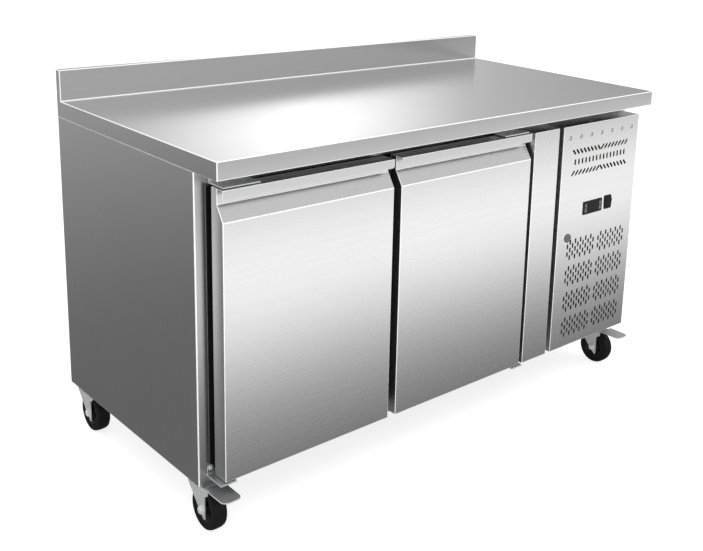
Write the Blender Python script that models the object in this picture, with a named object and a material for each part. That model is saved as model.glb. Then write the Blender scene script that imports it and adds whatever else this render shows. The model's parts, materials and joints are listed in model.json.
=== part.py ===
"""Two-door undercounter refrigerator on swivel castors.

Frame: +X to the user's right, +Y to the back, +Z up. The origin is on the
floor, under the middle of the worktop. Units are metres.
"""
import math

import bmesh
import bpy
from mathutils import Matrix, Vector

# ---------------------------------------------------------------- dimensions
SHEET = 0.0012          # stainless sheet thickness
GAP = 0.0003            # clearance between pieces that touch

# worktop
TOP_HALF_W = 0.680
TOP_HALF_D = 0.350
TOP_Z = 0.820           # working height
SLAB = 0.038            # depth of the worktop's folded edge
UPSTAND_H = 0.073
UPSTAND_T = 0.020
RETURN_LIP = 0.014      # inward return under the folded edge

# cabinet body
CAB_FRONT = -0.264      # face that the doors close on
CAB_BACK = 0.348
CAB_Z0 = 0.110
CAB_Z1 = TOP_Z - SLAB - GAP
SIDE_RETURN = 0.025     # stainless strip folded round to the front
BASE_Z = 0.126          # underside of the base pan, where the castors bolt on
BASE_FLANGE = 0.016
SERVICE_X = (0.392, 0.640)      # opening in the front frame behind the grille
SERVICE_Z = (0.150, 0.740)
VENT_X = 0.430                  # first upright vent slot in the back panel
VENT_PITCH = 0.025
VENT_COUNT = 9
VENT_Z = (0.300, 0.520)
VENT_HALF = (0.005, 0.080)

# cold room
ROOM_X = (-0.632, 0.335)
ROOM_Y_BACK = 0.300
ROOM_Z = (0.165, 0.722)
COLD_END_X = 0.385      # outer face of the insulated partition
COVE = 0.012            # corner radius of the lining
DOORWAY_INSET = 0.002   # from the gasket's inner edge to the doorway
SHELF_Z = 0.430
SHELF_HALF_W = 0.163
SHELF_Y = (-0.225, 0.285)
SHELF_T = 0.006
SHELF_GAPS = 8
SHELF_BAR = 0.010
RUNNER_OUT = 0.170      # from the bay's middle to a runner's outer face
RUNNER_GRIP = 0.012     # how far a runner reaches under its shelf
RUNNER_H = 0.022

# doors
FRONT = -0.324          # plane of the door and panel faces
DOOR_BACK = -0.284
DOOR_Z = (0.138, 0.754)
LEFT_DOOR_X = (-0.653, -0.222)
RIGHT_DOOR_X = (-0.200, 0.225)
LIP_Z = 0.734           # lower edge of the pull lip
RECESS_Y = -0.303       # back of the finger recess
RECESS_Z = 0.722        # fold where the recess turns into the slanted face
SLANT_Z = 0.689         # lower edge of the slanted face
INNER_T = 0.0017
GASKET_T = 0.0158
GASKET_INSET = 0.014
GASKET_W = 0.018
HINGE_INSET = 0.014
HINGE_Y = -0.306
UPPER_HINGE_L = 0.085
UPPER_HINGE_T = 0.003
HINGE_END = 0.009       # from the pivot to the upper hinge's outer end
LOWER_HINGE_T = 0.0035
EAR_R = 0.0075
PIN_R = 0.0042
PIN_WELL = 0.0060
FIELD_INSET = 0.012     # from the gasket to the inner skin's raised field
FIELD_H = 0.008
GROOVE = (0.004, 0.003) # depth and half width of the gasket's outer groove

# front panels beside the doors
FILLER_X = (0.237, 0.330)
GRILLE_X = (0.347, 0.664)
LOUVRE_X = 0.5035               # middle of the louvre rows
LOUVRE_W = 0.0046
LOUVRE_ROWS = (                 # height, slots, pitch, slot length, lean in degrees
    (0.6835, 16, 0.0146, 0.0180, 42),
    (0.6557, 15, 0.0148, 0.0146, 0),
    (0.6265, 16, 0.0146, 0.0180, -42),
)
BLOCK_X = (0.398, 0.528)        # first slot of each of the two block columns
BLOCK_Z = 0.415                 # middle of the uppermost blocks
BLOCK_PITCH = 0.0735
BLOCK_ROWS = 4
BLOCK_SLOTS = 6
BLOCK_SLOT_PITCH = 0.0216
BLOCK_SLOT_HALF = (0.0023, 0.027)

# controls on the grille panel
THERMO_C = (0.4855, 0.5215)
THERMO_SIZE = (0.079, 0.036)
THERMO_PROUD = 0.0020
THERMO_DEPTH = 0.050
THERMO_CASE_INSET = (0.0043, 0.0040)
KEY_OFFSET = 0.0300
KEY_W = 0.0086
KEY_H = 0.0258
KEY_PROUD = 0.0008
KEY_DEPTH = 0.0040
SWITCH_C = (0.5520, 0.5230)
SWITCH_SIZE = (0.032, 0.038)
SWITCH_PROUD = 0.0025
SWITCH_DEPTH = 0.022
SWITCH_CASE_INSET = (0.0040, 0.0050)
SWITCH_WELL = (0.0105, 0.0138)
ROCKER_HALF = (0.0098, 0.0120)
ROCKER_DEPTH = 0.0060
ROCKER_REST = -6        # resting tilt in degrees, upper half pressed
LOCK_C = (0.3900, 0.4500)
LOCK_R = 0.012
LOCK_HOLE_R = 0.0085
LOCK_SHANK_R = 0.0080
PLUNGE = 0.01           # how far cutters run past the sheet they cut

# cooling unit
TRAY_X = (0.396, 0.668)
TRAY_Y = (-0.250, 0.330)
TRAY_LIFT = 0.002
TRAY_H = 0.020
TRAY_T = 0.0015
COMP_C = (0.530, 0.215)
COMP_R = 0.075
SEAM_R = 0.078
COMP_DOME_Z = 0.125     # where the dome starts, above the feet
COMP_DOME_H = 0.050
COMP_FOOT = (0.083, 0.048)
COMP_PLATE = (0.095, 0.060)
CONDENSER = ((0.412, -0.225, 0.175), (0.648, -0.180, 0.445))
EVAPORATOR = ((0.245, -0.170, 0.205), (0.320, 0.230, 0.470))
COIL_FINS = 11
COIL_EDGE = 0.008       # depth of a fin groove and height of the coil's rims
FAN_C = (0.530, 0.310)
FAN_BLADES = 5
BLADE_PITCH = 28        # degrees
SHROUD_Y = -0.160
SHROUD_X = (0.412, 0.648)
SHROUD_Z = (0.190, 0.430)
SHROUD_D = 0.018
SHROUD_T = 0.002
SHROUD_HOLE_R = 0.096
EVAP_COVER_X = 0.205
EVAP_COVER_T = 0.0025
EVAP_FAN_C = (0.020, 0.600)
EVAP_HOLE_R = 0.082

# castors
WHEEL_R = 0.048
WHEEL_W = 0.032
TRAIL = 0.034
CASTOR_X = 0.649
CASTOR_Y = {"front": -0.218, "rear": 0.316}
CROWN_Z = (0.0985, 0.1012)
LEG_IN = 0.0175
LEG_T = 0.0025
AXLE_R = 0.005
HEAD_R = 0.022
HEAD_TOP = 0.1222
KINGPIN_R = 0.006
CASTOR_PLATE = (0.052, 0.056)
NUT_R = 0.0085
NUT_T = 0.005
LEG_FRONT = 0.013       # front edge of a fork leg ahead of the axle
LEG_TAB = 0.024         # front edge of its upper tab ahead of the axle
LEG_REAR = 0.056        # rear edge of the fork behind the axle
PEDAL_Z = 0.1004
PEDAL_FLAT_Z = 0.1035
PEDAL_T = 0.0025
PEDAL_REACH = 0.0185    # pivot ahead of the wheel's axle
PEDAL_TIP = 0.128       # tip ahead of the swivel axis
PEDAL_HALF_W = 0.023
PEDAL_CORNER_R = 0.014
BARREL_R = 0.0030


# ------------------------------------------------------------------ materials
def material(name, colour, roughness, metallic):
    mat = bpy.data.materials.new(name)
    mat.use_nodes = True
    shader = mat.node_tree.nodes["Principled BSDF"]
    shader.inputs["Base Color"].default_value = (*colour, 1.0)
    shader.inputs["Roughness"].default_value = roughness
    shader.inputs["Metallic"].default_value = metallic
    mat.diffuse_color = (*colour, 1.0)
    return mat


# ---------------------------------------------------------------- mesh helpers
def new_object(name, mesh, mat):
    obj = bpy.data.objects.new(name, mesh)
    bpy.context.scene.collection.objects.link(obj)
    if mat:
        mesh.materials.clear()
        mesh.materials.append(mat)
    return obj


def from_bmesh(name, bm, mat):
    bmesh.ops.recalc_face_normals(bm, faces=bm.faces)
    mesh = bpy.data.meshes.new(name)
    bm.to_mesh(mesh)
    bm.free()
    return new_object(name, mesh, mat)


def shade(obj, degrees):
    obj.data.shade_smooth()
    obj.data.set_sharp_from_angle(angle=math.radians(degrees))


def box(name, low, high, mat=None):
    bm = bmesh.new()
    size = [h - l for l, h in zip(low, high)]
    middle = [(h + l) / 2 for l, h in zip(low, high)]
    turn = Matrix.Translation(middle) @ Matrix.Diagonal((*size, 1.0))
    bmesh.ops.create_cube(bm, size=1.0, matrix=turn)
    return from_bmesh(name, bm, mat)


def prism(name, outline, axis, start, stop, mat=None):
    """Extrude a closed outline along a row axis.

    The outline's points are (y, z) for "x", (x, z) for "y" and (x, y) for "z".
    """
    bm = bmesh.new()
    place = {
        "x": lambda p, t: (t, p[0], p[1]),
        "y": lambda p, t: (p[0], t, p[1]),
        "z": lambda p, t: (p[0], p[1], t),
    }[axis]
    verts = [bm.verts.new(place(p, start)) for p in outline]
    face = bm.faces.new(verts)
    grown = bmesh.ops.extrude_face_region(bm, geom=[face])
    moved = [v for v in grown["geom"] if isinstance(v, bmesh.types.BMVert)]
    step = Vector(place((0, 0), stop)) - Vector(place((0, 0), start))
    bmesh.ops.translate(bm, verts=moved, vec=step)
    return from_bmesh(name, bm, mat)


def facing(axis):
    """Rotation that lays the Z axis along a row axis."""
    return {
        "z": Matrix.Identity(4),
        "y": Matrix.Rotation(math.radians(-90), 4, "X"),
        "x": Matrix.Rotation(math.radians(90), 4, "Y"),
    }[axis]


def turned(name, profile, centre, axis, segments=32, mat=None):
    """Spin (radius, height) points about a row axis through centre.

    The profile is a closed loop; points at radius 0 close on the axis.
    """
    bm = bmesh.new()
    rings = []
    for radius, height in profile:
        if radius < 1e-9:
            rings.append([bm.verts.new((0, 0, height))])
            continue
        ring = []
        for k in range(segments):
            a = 2 * math.pi * k / segments
            ring.append(bm.verts.new((radius * math.cos(a), radius * math.sin(a), height)))
        rings.append(ring)
    closed = profile[0][0] > 1e-9
    pairs = list(zip(rings, rings[1:]))
    if closed:
        pairs.append((rings[-1], rings[0]))
    for lower, upper in pairs:
        for k in range(segments):
            n = (k + 1) % segments
            corners = [lower[k % len(lower)], lower[n % len(lower)]]
            corners += [upper[n % len(upper)], upper[k % len(upper)]]
            unique = list(dict.fromkeys(corners))
            if len(unique) > 2:
                bm.faces.new(unique)
    turn = Matrix.Translation(centre) @ facing(axis)
    bmesh.ops.transform(bm, matrix=turn, verts=bm.verts)
    obj = from_bmesh(name, bm, mat)
    shade(obj, 35)
    return obj


def rod(name, radius, start, stop, axis, centre, segments=24, mat=None):
    """Plain cylinder between two heights along an axis through centre."""
    profile = [(0, start), (radius, start), (radius, stop), (0, stop)]
    return turned(name, profile, centre, axis, segments, mat)


def boolean(target, others, operation):
    """Apply an exact Boolean with each helper, then remove the helpers."""
    for other in others:
        mod = target.modifiers.new(operation.lower(), "BOOLEAN")
        mod.operation = operation
        mod.solver = "EXACT"
        mod.object = other
        bpy.context.view_layer.update()
        graph = bpy.context.evaluated_depsgraph_get()
        mesh = bpy.data.meshes.new_from_object(target.evaluated_get(graph))
        target.modifiers.clear()
        target.data = mesh
        bpy.data.objects.remove(other, do_unlink=True)
    return target


def cut(target, *cutters):
    return boolean(target, cutters, "DIFFERENCE")


def join(target, *pieces):
    return boolean(target, pieces, "UNION")


def set_origin(obj, point):
    obj.data.transform(Matrix.Translation(-Vector(point)))
    obj.location = point
    return obj


def arc(cx, cy, radius, start, stop, steps):
    """Points along an arc, angles in degrees."""
    points = []
    for k in range(steps + 1):
        a = math.radians(start + (stop - start) * k / steps)
        points.append((cx + radius * math.cos(a), cy + radius * math.sin(a)))
    return points


def rounded_rect(cx, cy, width, height, radius, steps=4):
    points = []
    corners = ((1, 1, 0), (-1, 1, 90), (-1, -1, 180), (1, -1, 270))
    for sx, sy, start in corners:
        x = cx + sx * (width / 2 - radius)
        y = cy + sy * (height / 2 - radius)
        points += arc(x, y, radius, start, start + 90, steps)
    return points


# -------------------------------------------------------------------- worktop
def make_worktop(steel):
    z0 = TOP_Z - SLAB
    z2 = TOP_Z + UPSTAND_H
    back = TOP_HALF_D
    up = back - UPSTAND_T
    outer = [(-back, z0), (back, z0), (back, z2), (up, z2), (up, TOP_Z), (-back, TOP_Z)]
    t = SHEET
    lip = back - RETURN_LIP
    below = z0 - PLUNGE
    hollow = [
        (-lip, below), (lip, below), (lip, z0 + t), (back - t, z0 + t),
        (back - t, z2 - t), (up + t, z2 - t), (up + t, TOP_Z - t),
        (-back + t, TOP_Z - t), (-back + t, z0 + t), (-lip, z0 + t),
    ]
    top = prism("worktop", outer, "x", -TOP_HALF_W, TOP_HALF_W, steel)
    inside = prism("cutter", hollow, "x", -TOP_HALF_W + t, TOP_HALF_W - t)
    return cut(top, inside)


# -------------------------------------------------------------------- cabinet
def make_side_panel(name, side, steel):
    """Outer side skin, folded round to the front as a narrow strip."""
    outer = side * TOP_HALF_W
    inner = side * (TOP_HALF_W - SHEET)
    edge = side * (TOP_HALF_W - SIDE_RETURN)
    outline = [
        (outer, CAB_FRONT), (outer, CAB_BACK), (inner, CAB_BACK),
        (inner, CAB_FRONT + SHEET), (edge, CAB_FRONT + SHEET), (edge, CAB_FRONT),
    ]
    return prism(name, outline, "z", CAB_Z0, CAB_Z1, steel)


def inner_half_width():
    return TOP_HALF_W - SHEET - GAP


def make_back_panel(steel):
    x = inner_half_width()
    low = (-x, CAB_BACK - SHEET, CAB_Z0)
    panel = box("back_panel", low, (x, CAB_BACK, CAB_Z1), steel)
    w, h = VENT_HALF
    y0, y1 = CAB_BACK - PLUNGE, CAB_BACK + PLUNGE
    slots = []
    for z in VENT_Z:
        for k in range(VENT_COUNT):
            x = VENT_X + k * VENT_PITCH
            slots.append(box("cutter", (x - w, y0, z - h), (x + w, y1, z + h)))
    return cut(panel, *slots)


def make_base_pan(steel):
    x = inner_half_width()
    y0 = CAB_FRONT + SHEET + GAP
    y1 = CAB_BACK - SHEET - GAP
    z1 = BASE_Z + BASE_FLANGE
    pan = box("base_pan", (-x, y0, BASE_Z), (x, y1, z1), steel)
    t = SHEET
    hollow = box("cutter", (-x + t, y0 + t, BASE_Z + t), (x - t, y1 - t, z1 + PLUNGE))
    return cut(pan, hollow)


def room_box(grow, name, mat=None, front=None):
    """Box of the cold room, grown outwards on every closed side."""
    y0 = CAB_FRONT + SHEET + GAP if front is None else front
    low = (ROOM_X[0] - grow, y0, ROOM_Z[0] - grow)
    high = (ROOM_X[1] + grow, ROOM_Y_BACK + grow, ROOM_Z[1] + grow)
    return box(name, low, high, mat)


def make_insulation(foam):
    x0 = -inner_half_width() + SHEET + GAP
    y0 = CAB_FRONT + 2 * (SHEET + GAP)
    y1 = CAB_BACK - 2 * (SHEET + GAP)
    z0 = BASE_Z + SHEET + GAP
    block = box("cabinet_insulation", (x0, y0, z0), (COLD_END_X, y1, CAB_Z1 - GAP), foam)
    room = room_box(SHEET + GAP, "cutter", front=CAB_FRONT - PLUNGE)
    return cut(block, room)


def make_liner(liner_mat):
    """Five-sided lining with coved floor corners, open to the front."""
    shell = room_box(SHEET, "cabinet_liner", liner_mat)
    width = ROOM_X[1] - ROOM_X[0]
    height = ROOM_Z[1] - ROOM_Z[0]
    cx = (ROOM_X[0] + ROOM_X[1]) / 2
    cz = (ROOM_Z[0] + ROOM_Z[1]) / 2
    outline = rounded_rect(cx, cz, width, height, COVE, 4)
    inside = prism("cutter", outline, "y", CAB_FRONT - PLUNGE, ROOM_Y_BACK)
    return cut(shell, inside)


def gasket_outer(door_x):
    return door_x[0] + GASKET_INSET, door_x[1] - GASKET_INSET


def gasket_z():
    return DOOR_Z[0] + GASKET_INSET, DOOR_Z[1] - GASKET_INSET


def doorway(door_x):
    """Opening behind a door: inside the gasket's inner edge."""
    x0, x1 = gasket_outer(door_x)
    z0, z1 = gasket_z()
    inset = GASKET_W + DOORWAY_INSET
    return (x0 + inset, x1 - inset), (z0 + inset, z1 - inset)


def make_front_frame(steel):
    edge = TOP_HALF_W - SIDE_RETURN - GAP
    y0 = CAB_FRONT
    frame = box("front_frame", (-edge, y0, CAB_Z0), (edge, y0 + SHEET, CAB_Z1), steel)
    holes = []
    for door_x in (LEFT_DOOR_X, RIGHT_DOOR_X):
        (x0, x1), (z0, z1) = doorway(door_x)
        holes.append(box("cutter", (x0, y0 - PLUNGE, z0), (x1, y0 + PLUNGE, z1)))
    low = (SERVICE_X[0], y0 - PLUNGE, SERVICE_Z[0])
    holes.append(box("cutter", low, (SERVICE_X[1], y0 + PLUNGE, SERVICE_Z[1])))
    return cut(frame, *holes)


def make_breaker_strip(plastic):
    """Black plastic face round both doorways, which the gaskets seal on."""
    rim = 0.004
    z0 = DOOR_Z[0] + rim
    z1 = DOOR_Z[1] - rim
    x0 = -TOP_HALF_W + SIDE_RETURN + 0.001
    x1 = FILLER_X[0] - 0.006
    y1 = CAB_FRONT - GAP
    y0 = y1 - SHEET
    strip = box("breaker_strip", (x0, y0, z0), (x1, y1, z1), plastic)
    holes = []
    for door_x in (LEFT_DOOR_X, RIGHT_DOOR_X):
        (a, b), (c, d) = doorway(door_x)
        holes.append(box("cutter", (a, y0 - PLUNGE, c), (b, y1 + PLUNGE, d)))
    return cut(strip, *holes)


def make_pan_panel(name, span, steel):
    """Folded front panel: a shallow pan, open towards the cabinet."""
    t = SHEET
    back = CAB_FRONT - GAP
    low = (span[0], FRONT, DOOR_Z[0])
    panel = box(name, low, (span[1], back, DOOR_Z[1]), steel)
    inner_low = (span[0] + t, FRONT + t, DOOR_Z[0] + t)
    inner_high = (span[1] - t, back + PLUNGE, DOOR_Z[1] - t)
    return cut(panel, box("cutter", inner_low, inner_high))


def leaning_slot(cx, cz, length, lean):
    """Four-cornered slot whose top leans left by an angle in degrees."""
    turn = Matrix.Rotation(math.radians(lean), 2)
    w, h = LOUVRE_W / 2, length / 2
    corners = ((w, -h), (w, h), (-w, h), (-w, -h))
    return [(cx + p.x, cz + p.y) for p in (turn @ Vector(c) for c in corners)]


def make_grille_panel(steel):
    """Front panel with louvre rows, slot blocks and the control cut-outs."""
    panel = make_pan_panel("grille_panel", GRILLE_X, steel)
    a, b = FRONT - PLUNGE, FRONT + PLUNGE
    w, h = THERMO_SIZE
    outline = rounded_rect(*THERMO_C, w - 0.008, h - 0.007, 0.0005)
    cutters = [prism("cutter", outline, "y", a, b)]
    w, h = SWITCH_SIZE
    outline = rounded_rect(*SWITCH_C, w - 0.006, h - 0.008, 0.0005)
    cutters.append(prism("cutter", outline, "y", a, b))
    cutters.append(rod("cutter", LOCK_HOLE_R, a, b, "y", (LOCK_C[0], 0, LOCK_C[1]), 24))
    for z, count, pitch, length, lean in LOUVRE_ROWS:
        for k in range(count):
            x = LOUVRE_X + (k - (count - 1) / 2) * pitch
            outline = leaning_slot(x, z, length, lean if k < count / 2 else -lean)
            cutters.append(prism("cutter", outline, "y", a, b))
    w, h = BLOCK_SLOT_HALF
    for row in range(BLOCK_ROWS):
        z = BLOCK_Z - row * BLOCK_PITCH
        for first in BLOCK_X:
            for k in range(BLOCK_SLOTS):
                x = first + k * BLOCK_SLOT_PITCH
                cutters.append(box("cutter", (x - w, a, z - h), (x + w, b, z + h)))
    return cut(panel, *cutters)


# ------------------------------------------------------------------- controls
def make_thermostat(plastic):
    """Bezel and case with a well for each key column."""
    cx, cz = THERMO_C
    w, h = THERMO_SIZE
    face = FRONT - THERMO_PROUD
    outline = rounded_rect(cx, cz, w, h, 0.003)
    bezel = prism("thermostat_body", outline, "y", face, FRONT - GAP, plastic)
    half_w = w / 2 - THERMO_CASE_INSET[0]
    half_h = h / 2 - THERMO_CASE_INSET[1]
    low = (cx - half_w, FRONT - 0.001, cz - half_h)
    join(bezel, box("part", low, (cx + half_w, FRONT + THERMO_DEPTH, cz + half_h)))
    wells = []
    half_w = KEY_W / 2 + GAP
    half_h = KEY_H / 2 + GAP
    for side in (-1, 1):
        x = cx + side * KEY_OFFSET
        low = (x - half_w, face - PLUNGE, cz - half_h)
        wells.append(box("cutter", low, (x + half_w, face + 0.0060, cz + half_h)))
    return cut(bezel, *wells)


def make_thermostat_key(name, side, rubber):
    cx, cz = THERMO_C
    x = cx + side * KEY_OFFSET
    face = FRONT - THERMO_PROUD
    outline = rounded_rect(x, cz, KEY_W, KEY_H, 0.0015)
    key = prism(name, outline, "y", face - KEY_PROUD, face + KEY_DEPTH, rubber)
    return set_origin(key, (x, face, cz))


def make_switch_body(plastic):
    cx, cz = SWITCH_C
    w, h = SWITCH_SIZE
    face = FRONT - SWITCH_PROUD
    outline = rounded_rect(cx, cz, w, h, 0.003)
    bezel = prism("power_switch_body", outline, "y", face, FRONT - GAP, plastic)
    half_w = w / 2 - SWITCH_CASE_INSET[0]
    half_h = h / 2 - SWITCH_CASE_INSET[1]
    low = (cx - half_w, FRONT - 0.001, cz - half_h)
    join(bezel, box("part", low, (cx + half_w, FRONT + SWITCH_DEPTH, cz + half_h)))
    w, h = SWITCH_WELL
    well = box("cutter", (cx - w, face - PLUNGE, cz - h), (cx + w, face + 0.0110, cz + h))
    return cut(bezel, well)


def make_rocker(plastic):
    """Rocker with a shallow V face, resting with its upper half pressed."""
    cx, cz = SWITCH_C
    w, h = ROCKER_HALF
    face = FRONT - SWITCH_PROUD
    back = face + ROCKER_DEPTH
    outline = [
        (face - 0.0010, cz), (face - 0.0005, cz + h), (back, cz + h),
        (back, cz - h), (face - 0.0005, cz - h),
    ]
    rocker = prism("power_rocker", outline, "x", cx - w, cx + w, plastic)
    set_origin(rocker, (cx, face + 0.0040, cz))
    rocker.data.transform(Matrix.Rotation(math.radians(ROCKER_REST), 4, "X"))
    return rocker


def make_panel_lock(plastic):
    """Quarter-turn fastener: coin-slotted head, shank and cam."""
    cx, cz = LOCK_C
    proud = 0.0030
    shank = 0.0120
    profile = [
        (0, -proud), (LOCK_R - 0.0015, -proud), (LOCK_R, -0.0018), (LOCK_R, -GAP),
        (LOCK_SHANK_R, -GAP), (LOCK_SHANK_R, shank), (0, shank),
    ]
    head = turned("panel_lock", profile, (cx, FRONT, cz), "y", 32, plastic)
    low = (cx - 0.006, FRONT + shank - 0.0015, cz - 0.024)
    join(head, box("part", low, (cx + 0.006, FRONT + shank + 0.0015, cz + 0.006)))
    low = (cx - 0.0075, FRONT - 2 * proud, cz - 0.0011)
    cut(head, box("cutter", low, (cx + 0.0075, FRONT - proud / 2, cz + 0.0011)))
    return set_origin(head, (cx, FRONT, cz))


# ---------------------------------------------------------------------- doors
def make_door_skin(name, span, steel):
    """Folded outer skin with the pull lip and finger recess along the top."""
    t = SHEET
    z0, z1 = DOOR_Z
    outer = [
        (DOOR_BACK, z0), (FRONT, z0), (FRONT, SLANT_Z), (RECESS_Y, RECESS_Z),
        (RECESS_Y, z1 - t), (FRONT + t, z1 - t), (FRONT + t, LIP_Z), (FRONT, LIP_Z),
        (FRONT, z1), (DOOR_BACK, z1),
    ]
    skin = prism(name, outer, "x", span[0], span[1], steel)
    return cut(skin, door_hollow("cutter", span, 0.0, DOOR_BACK + PLUNGE))


def door_hollow(name, span, shrink, back, mat=None):
    """Inside of a door skin, shrunk by a clearance."""
    t = SHEET + shrink
    z0, z1 = DOOR_Z
    outline = [
        (back, z0 + t), (FRONT + t, z0 + t), (FRONT + t, SLANT_Z - t * 0.3),
        (RECESS_Y + t, RECESS_Z - t * 0.3), (RECESS_Y + t, z1 - t), (back, z1 - t),
    ]
    return prism(name, outline, "x", span[0] + t, span[1] - t, mat)


def make_door_inner(name, span, plastic):
    """Inner door skin with a shallow raised field inside the gasket."""
    y0 = DOOR_BACK + GAP
    y1 = y0 + INNER_T
    inset = 0.0005
    low = (span[0] + inset, y0, DOOR_Z[0] + inset)
    sheet = box(name, low, (span[1] - inset, y1, DOOR_Z[1] - inset), plastic)
    edge = GASKET_INSET + GASKET_W + FIELD_INSET
    low = (span[0] + edge, y1 - 0.0005, DOOR_Z[0] + edge)
    return join(sheet, box("part", low, (span[1] - edge, y1 + FIELD_H, DOOR_Z[1] - edge)))


def make_gasket(name, span, rubber):
    """Bellows gasket: a frame with a groove round its outer side."""
    x0, x1 = gasket_outer(span)
    z0, z1 = gasket_z()
    y0 = DOOR_BACK + 2 * GAP + INNER_T
    y1 = y0 + GASKET_T
    w = GASKET_W
    ring = box(name, (x0, y0, z0), (x1, y1, z1), rubber)
    hole = box("cutter", (x0 + w, y0 - PLUNGE, z0 + w), (x1 - w, y1 + PLUNGE, z1 - w))
    cut(ring, hole)
    depth, half = GROOVE
    mid = (y0 + y1) / 2
    low = (x0 - PLUNGE, mid - half, z0 - PLUNGE)
    band = box("cutter", low, (x1 + PLUNGE, mid + half, z1 + PLUNGE))
    low = (x0 + depth, mid - PLUNGE, z0 + depth)
    core = box("keep", low, (x1 - depth, mid + PLUNGE, z1 - depth))
    cut(band, core)
    return cut(ring, band)


def hinge_x(span, side):
    return span[0] + HINGE_INSET if side < 0 else span[1] - HINGE_INSET


def make_door(prefix, span, side, mats):
    z0 = DOOR_Z[0]
    pivot = (hinge_x(span, side), HINGE_Y, 0)
    origin = (*pivot[:2], z0)
    skin = make_door_skin(prefix + "_door_skin", span, mats["steel"])
    core = door_hollow(prefix + "_door_core", span, GAP, DOOR_BACK, mats["foam"])
    cut(skin, rod("cutter", PIN_R + 0.0004, z0 - PLUNGE, z0 + PLUNGE, "z", pivot, 20))
    cut(core, rod("cutter", PIN_WELL, z0 - PLUNGE, z0 + 2 * PLUNGE, "z", pivot, 20))
    inner = make_door_inner(prefix + "_door_inner", span, mats["white"])
    gasket = make_gasket(prefix + "_door_gasket", span, mats["rubber"])
    for obj in (skin, core, inner, gasket):
        set_origin(obj, origin)


def make_upper_hinge(name, span, side, zinc):
    """Slotted plate over the door's top corner, folded down the cabinet face."""
    x = hinge_x(span, side)
    near = x + side * HINGE_END
    far = near - side * UPPER_HINGE_L
    x0, x1 = min(far, near), max(far, near)
    z0 = DOOR_Z[1] + 0.0012
    t = UPPER_HINGE_T
    back = CAB_FRONT - GAP
    plate = box(name, (x0, HINGE_Y - 0.012, z0), (x1, back, z0 + t), zinc)
    join(plate, box("part", (x0, back - t, z0), (x1, back, CAB_Z1 - 0.003)))
    slots = []
    for share in (0.35, 0.72):
        cx = x + (far - x) * share
        outline = rounded_rect(cx, HINGE_Y + 0.012, 0.018, 0.006, 0.0028, 3)
        slots.append(prism("cutter", outline, "z", z0 - PLUNGE, z0 + PLUNGE))
    return cut(plate, *slots)


def make_lower_hinge(name, span, side, zinc):
    """Arm under the door corner with a pivot pin, and a round-topped ear."""
    x = hinge_x(span, side)
    z1 = DOOR_Z[0] - 0.0025
    z0 = z1 - LOWER_HINGE_T
    outer = x + side * 0.026
    inner = x - side * 0.012
    back = CAB_FRONT - GAP
    low = (min(outer, inner), HINGE_Y - 0.019, z0)
    arm = box(name, low, (max(outer, inner), back, z1), zinc)
    ear_x = x + side * 0.0165
    outline = [(ear_x + EAR_R, z0)] + arc(ear_x, z1 + 0.012, EAR_R, 0, 180, 8) + [(ear_x - EAR_R, z0)]
    ear_back = back - SHEET - GAP
    ear = prism("part", outline, "y", ear_back - 0.003, ear_back)
    pin = rod("part", PIN_R, z1 - 0.001, z1 + 0.0085, "z", (x, HINGE_Y, 0), 20)
    return join(arm, ear, pin)


# -------------------------------------------------------------------- shelves
def bay_centre(span):
    (x0, x1), _ = doorway(span)
    return (x0 + x1) / 2


def make_shelf(name, cx, wire):
    """Wire shelf simplified to a slotted tray of cross bars."""
    y0, y1 = SHELF_Y
    low = (cx - SHELF_HALF_W, y0, SHELF_Z)
    shelf = box(name, low, (cx + SHELF_HALF_W, y1, SHELF_Z + SHELF_T), wire)
    rim = 0.012
    pitch = (y1 - y0 - rim) / SHELF_GAPS
    half = SHELF_HALF_W - SHELF_BAR
    gaps = []
    for k in range(SHELF_GAPS):
        a = y0 + rim + k * pitch
        b = a + pitch - SHELF_BAR
        gaps.append(box("cutter", (cx - half, a, SHELF_Z - PLUNGE), (cx + half, b, SHELF_Z + PLUNGE)))
    return cut(shelf, *gaps)


def make_runner(name, cx, side, steel):
    """Angle runner with an upright to the room's rack posts."""
    outer = cx + side * RUNNER_OUT
    inner = cx + side * (SHELF_HALF_W - RUNNER_GRIP)
    wall = cx + side * (RUNNER_OUT - SHEET)
    z = SHELF_Z - GAP
    outline = [
        (inner, z - SHEET), (outer, z - SHEET), (outer, z + RUNNER_H),
        (wall, z + RUNNER_H), (wall, z), (inner, z),
    ]
    return prism(name, outline, "y", SHELF_Y[0] - 0.006, ROOM_Y_BACK - 0.004, steel)


# -------------------------------------------------------------- cooling system
def make_fan(name, hub_r, tip_r, axis, centre, depth, mat):
    """Hub with pitched blades, spinning about a row axis."""
    profile = [(0, -depth / 2), (hub_r, -depth / 2), (hub_r, depth / 2), (0, depth / 2)]
    fan = turned(name, profile, (0, 0, 0), "z", 20, mat)
    for k in range(FAN_BLADES):
        bm = bmesh.new()
        turn = Matrix.Rotation(2 * math.pi * k / FAN_BLADES, 4, "Z")
        turn = turn @ Matrix.Translation(((hub_r + tip_r) / 2 - 0.002, 0, 0))
        turn = turn @ Matrix.Rotation(math.radians(BLADE_PITCH), 4, "X")
        size = Matrix.Diagonal((tip_r - hub_r + 0.004, tip_r * 0.62, 0.0022, 1.0))
        bmesh.ops.create_cube(bm, size=1.0, matrix=turn @ size)
        join(fan, from_bmesh("part", bm, None))
    fan.data.transform(facing(axis))
    fan.location = centre
    shade(fan, 30)
    return fan


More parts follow.
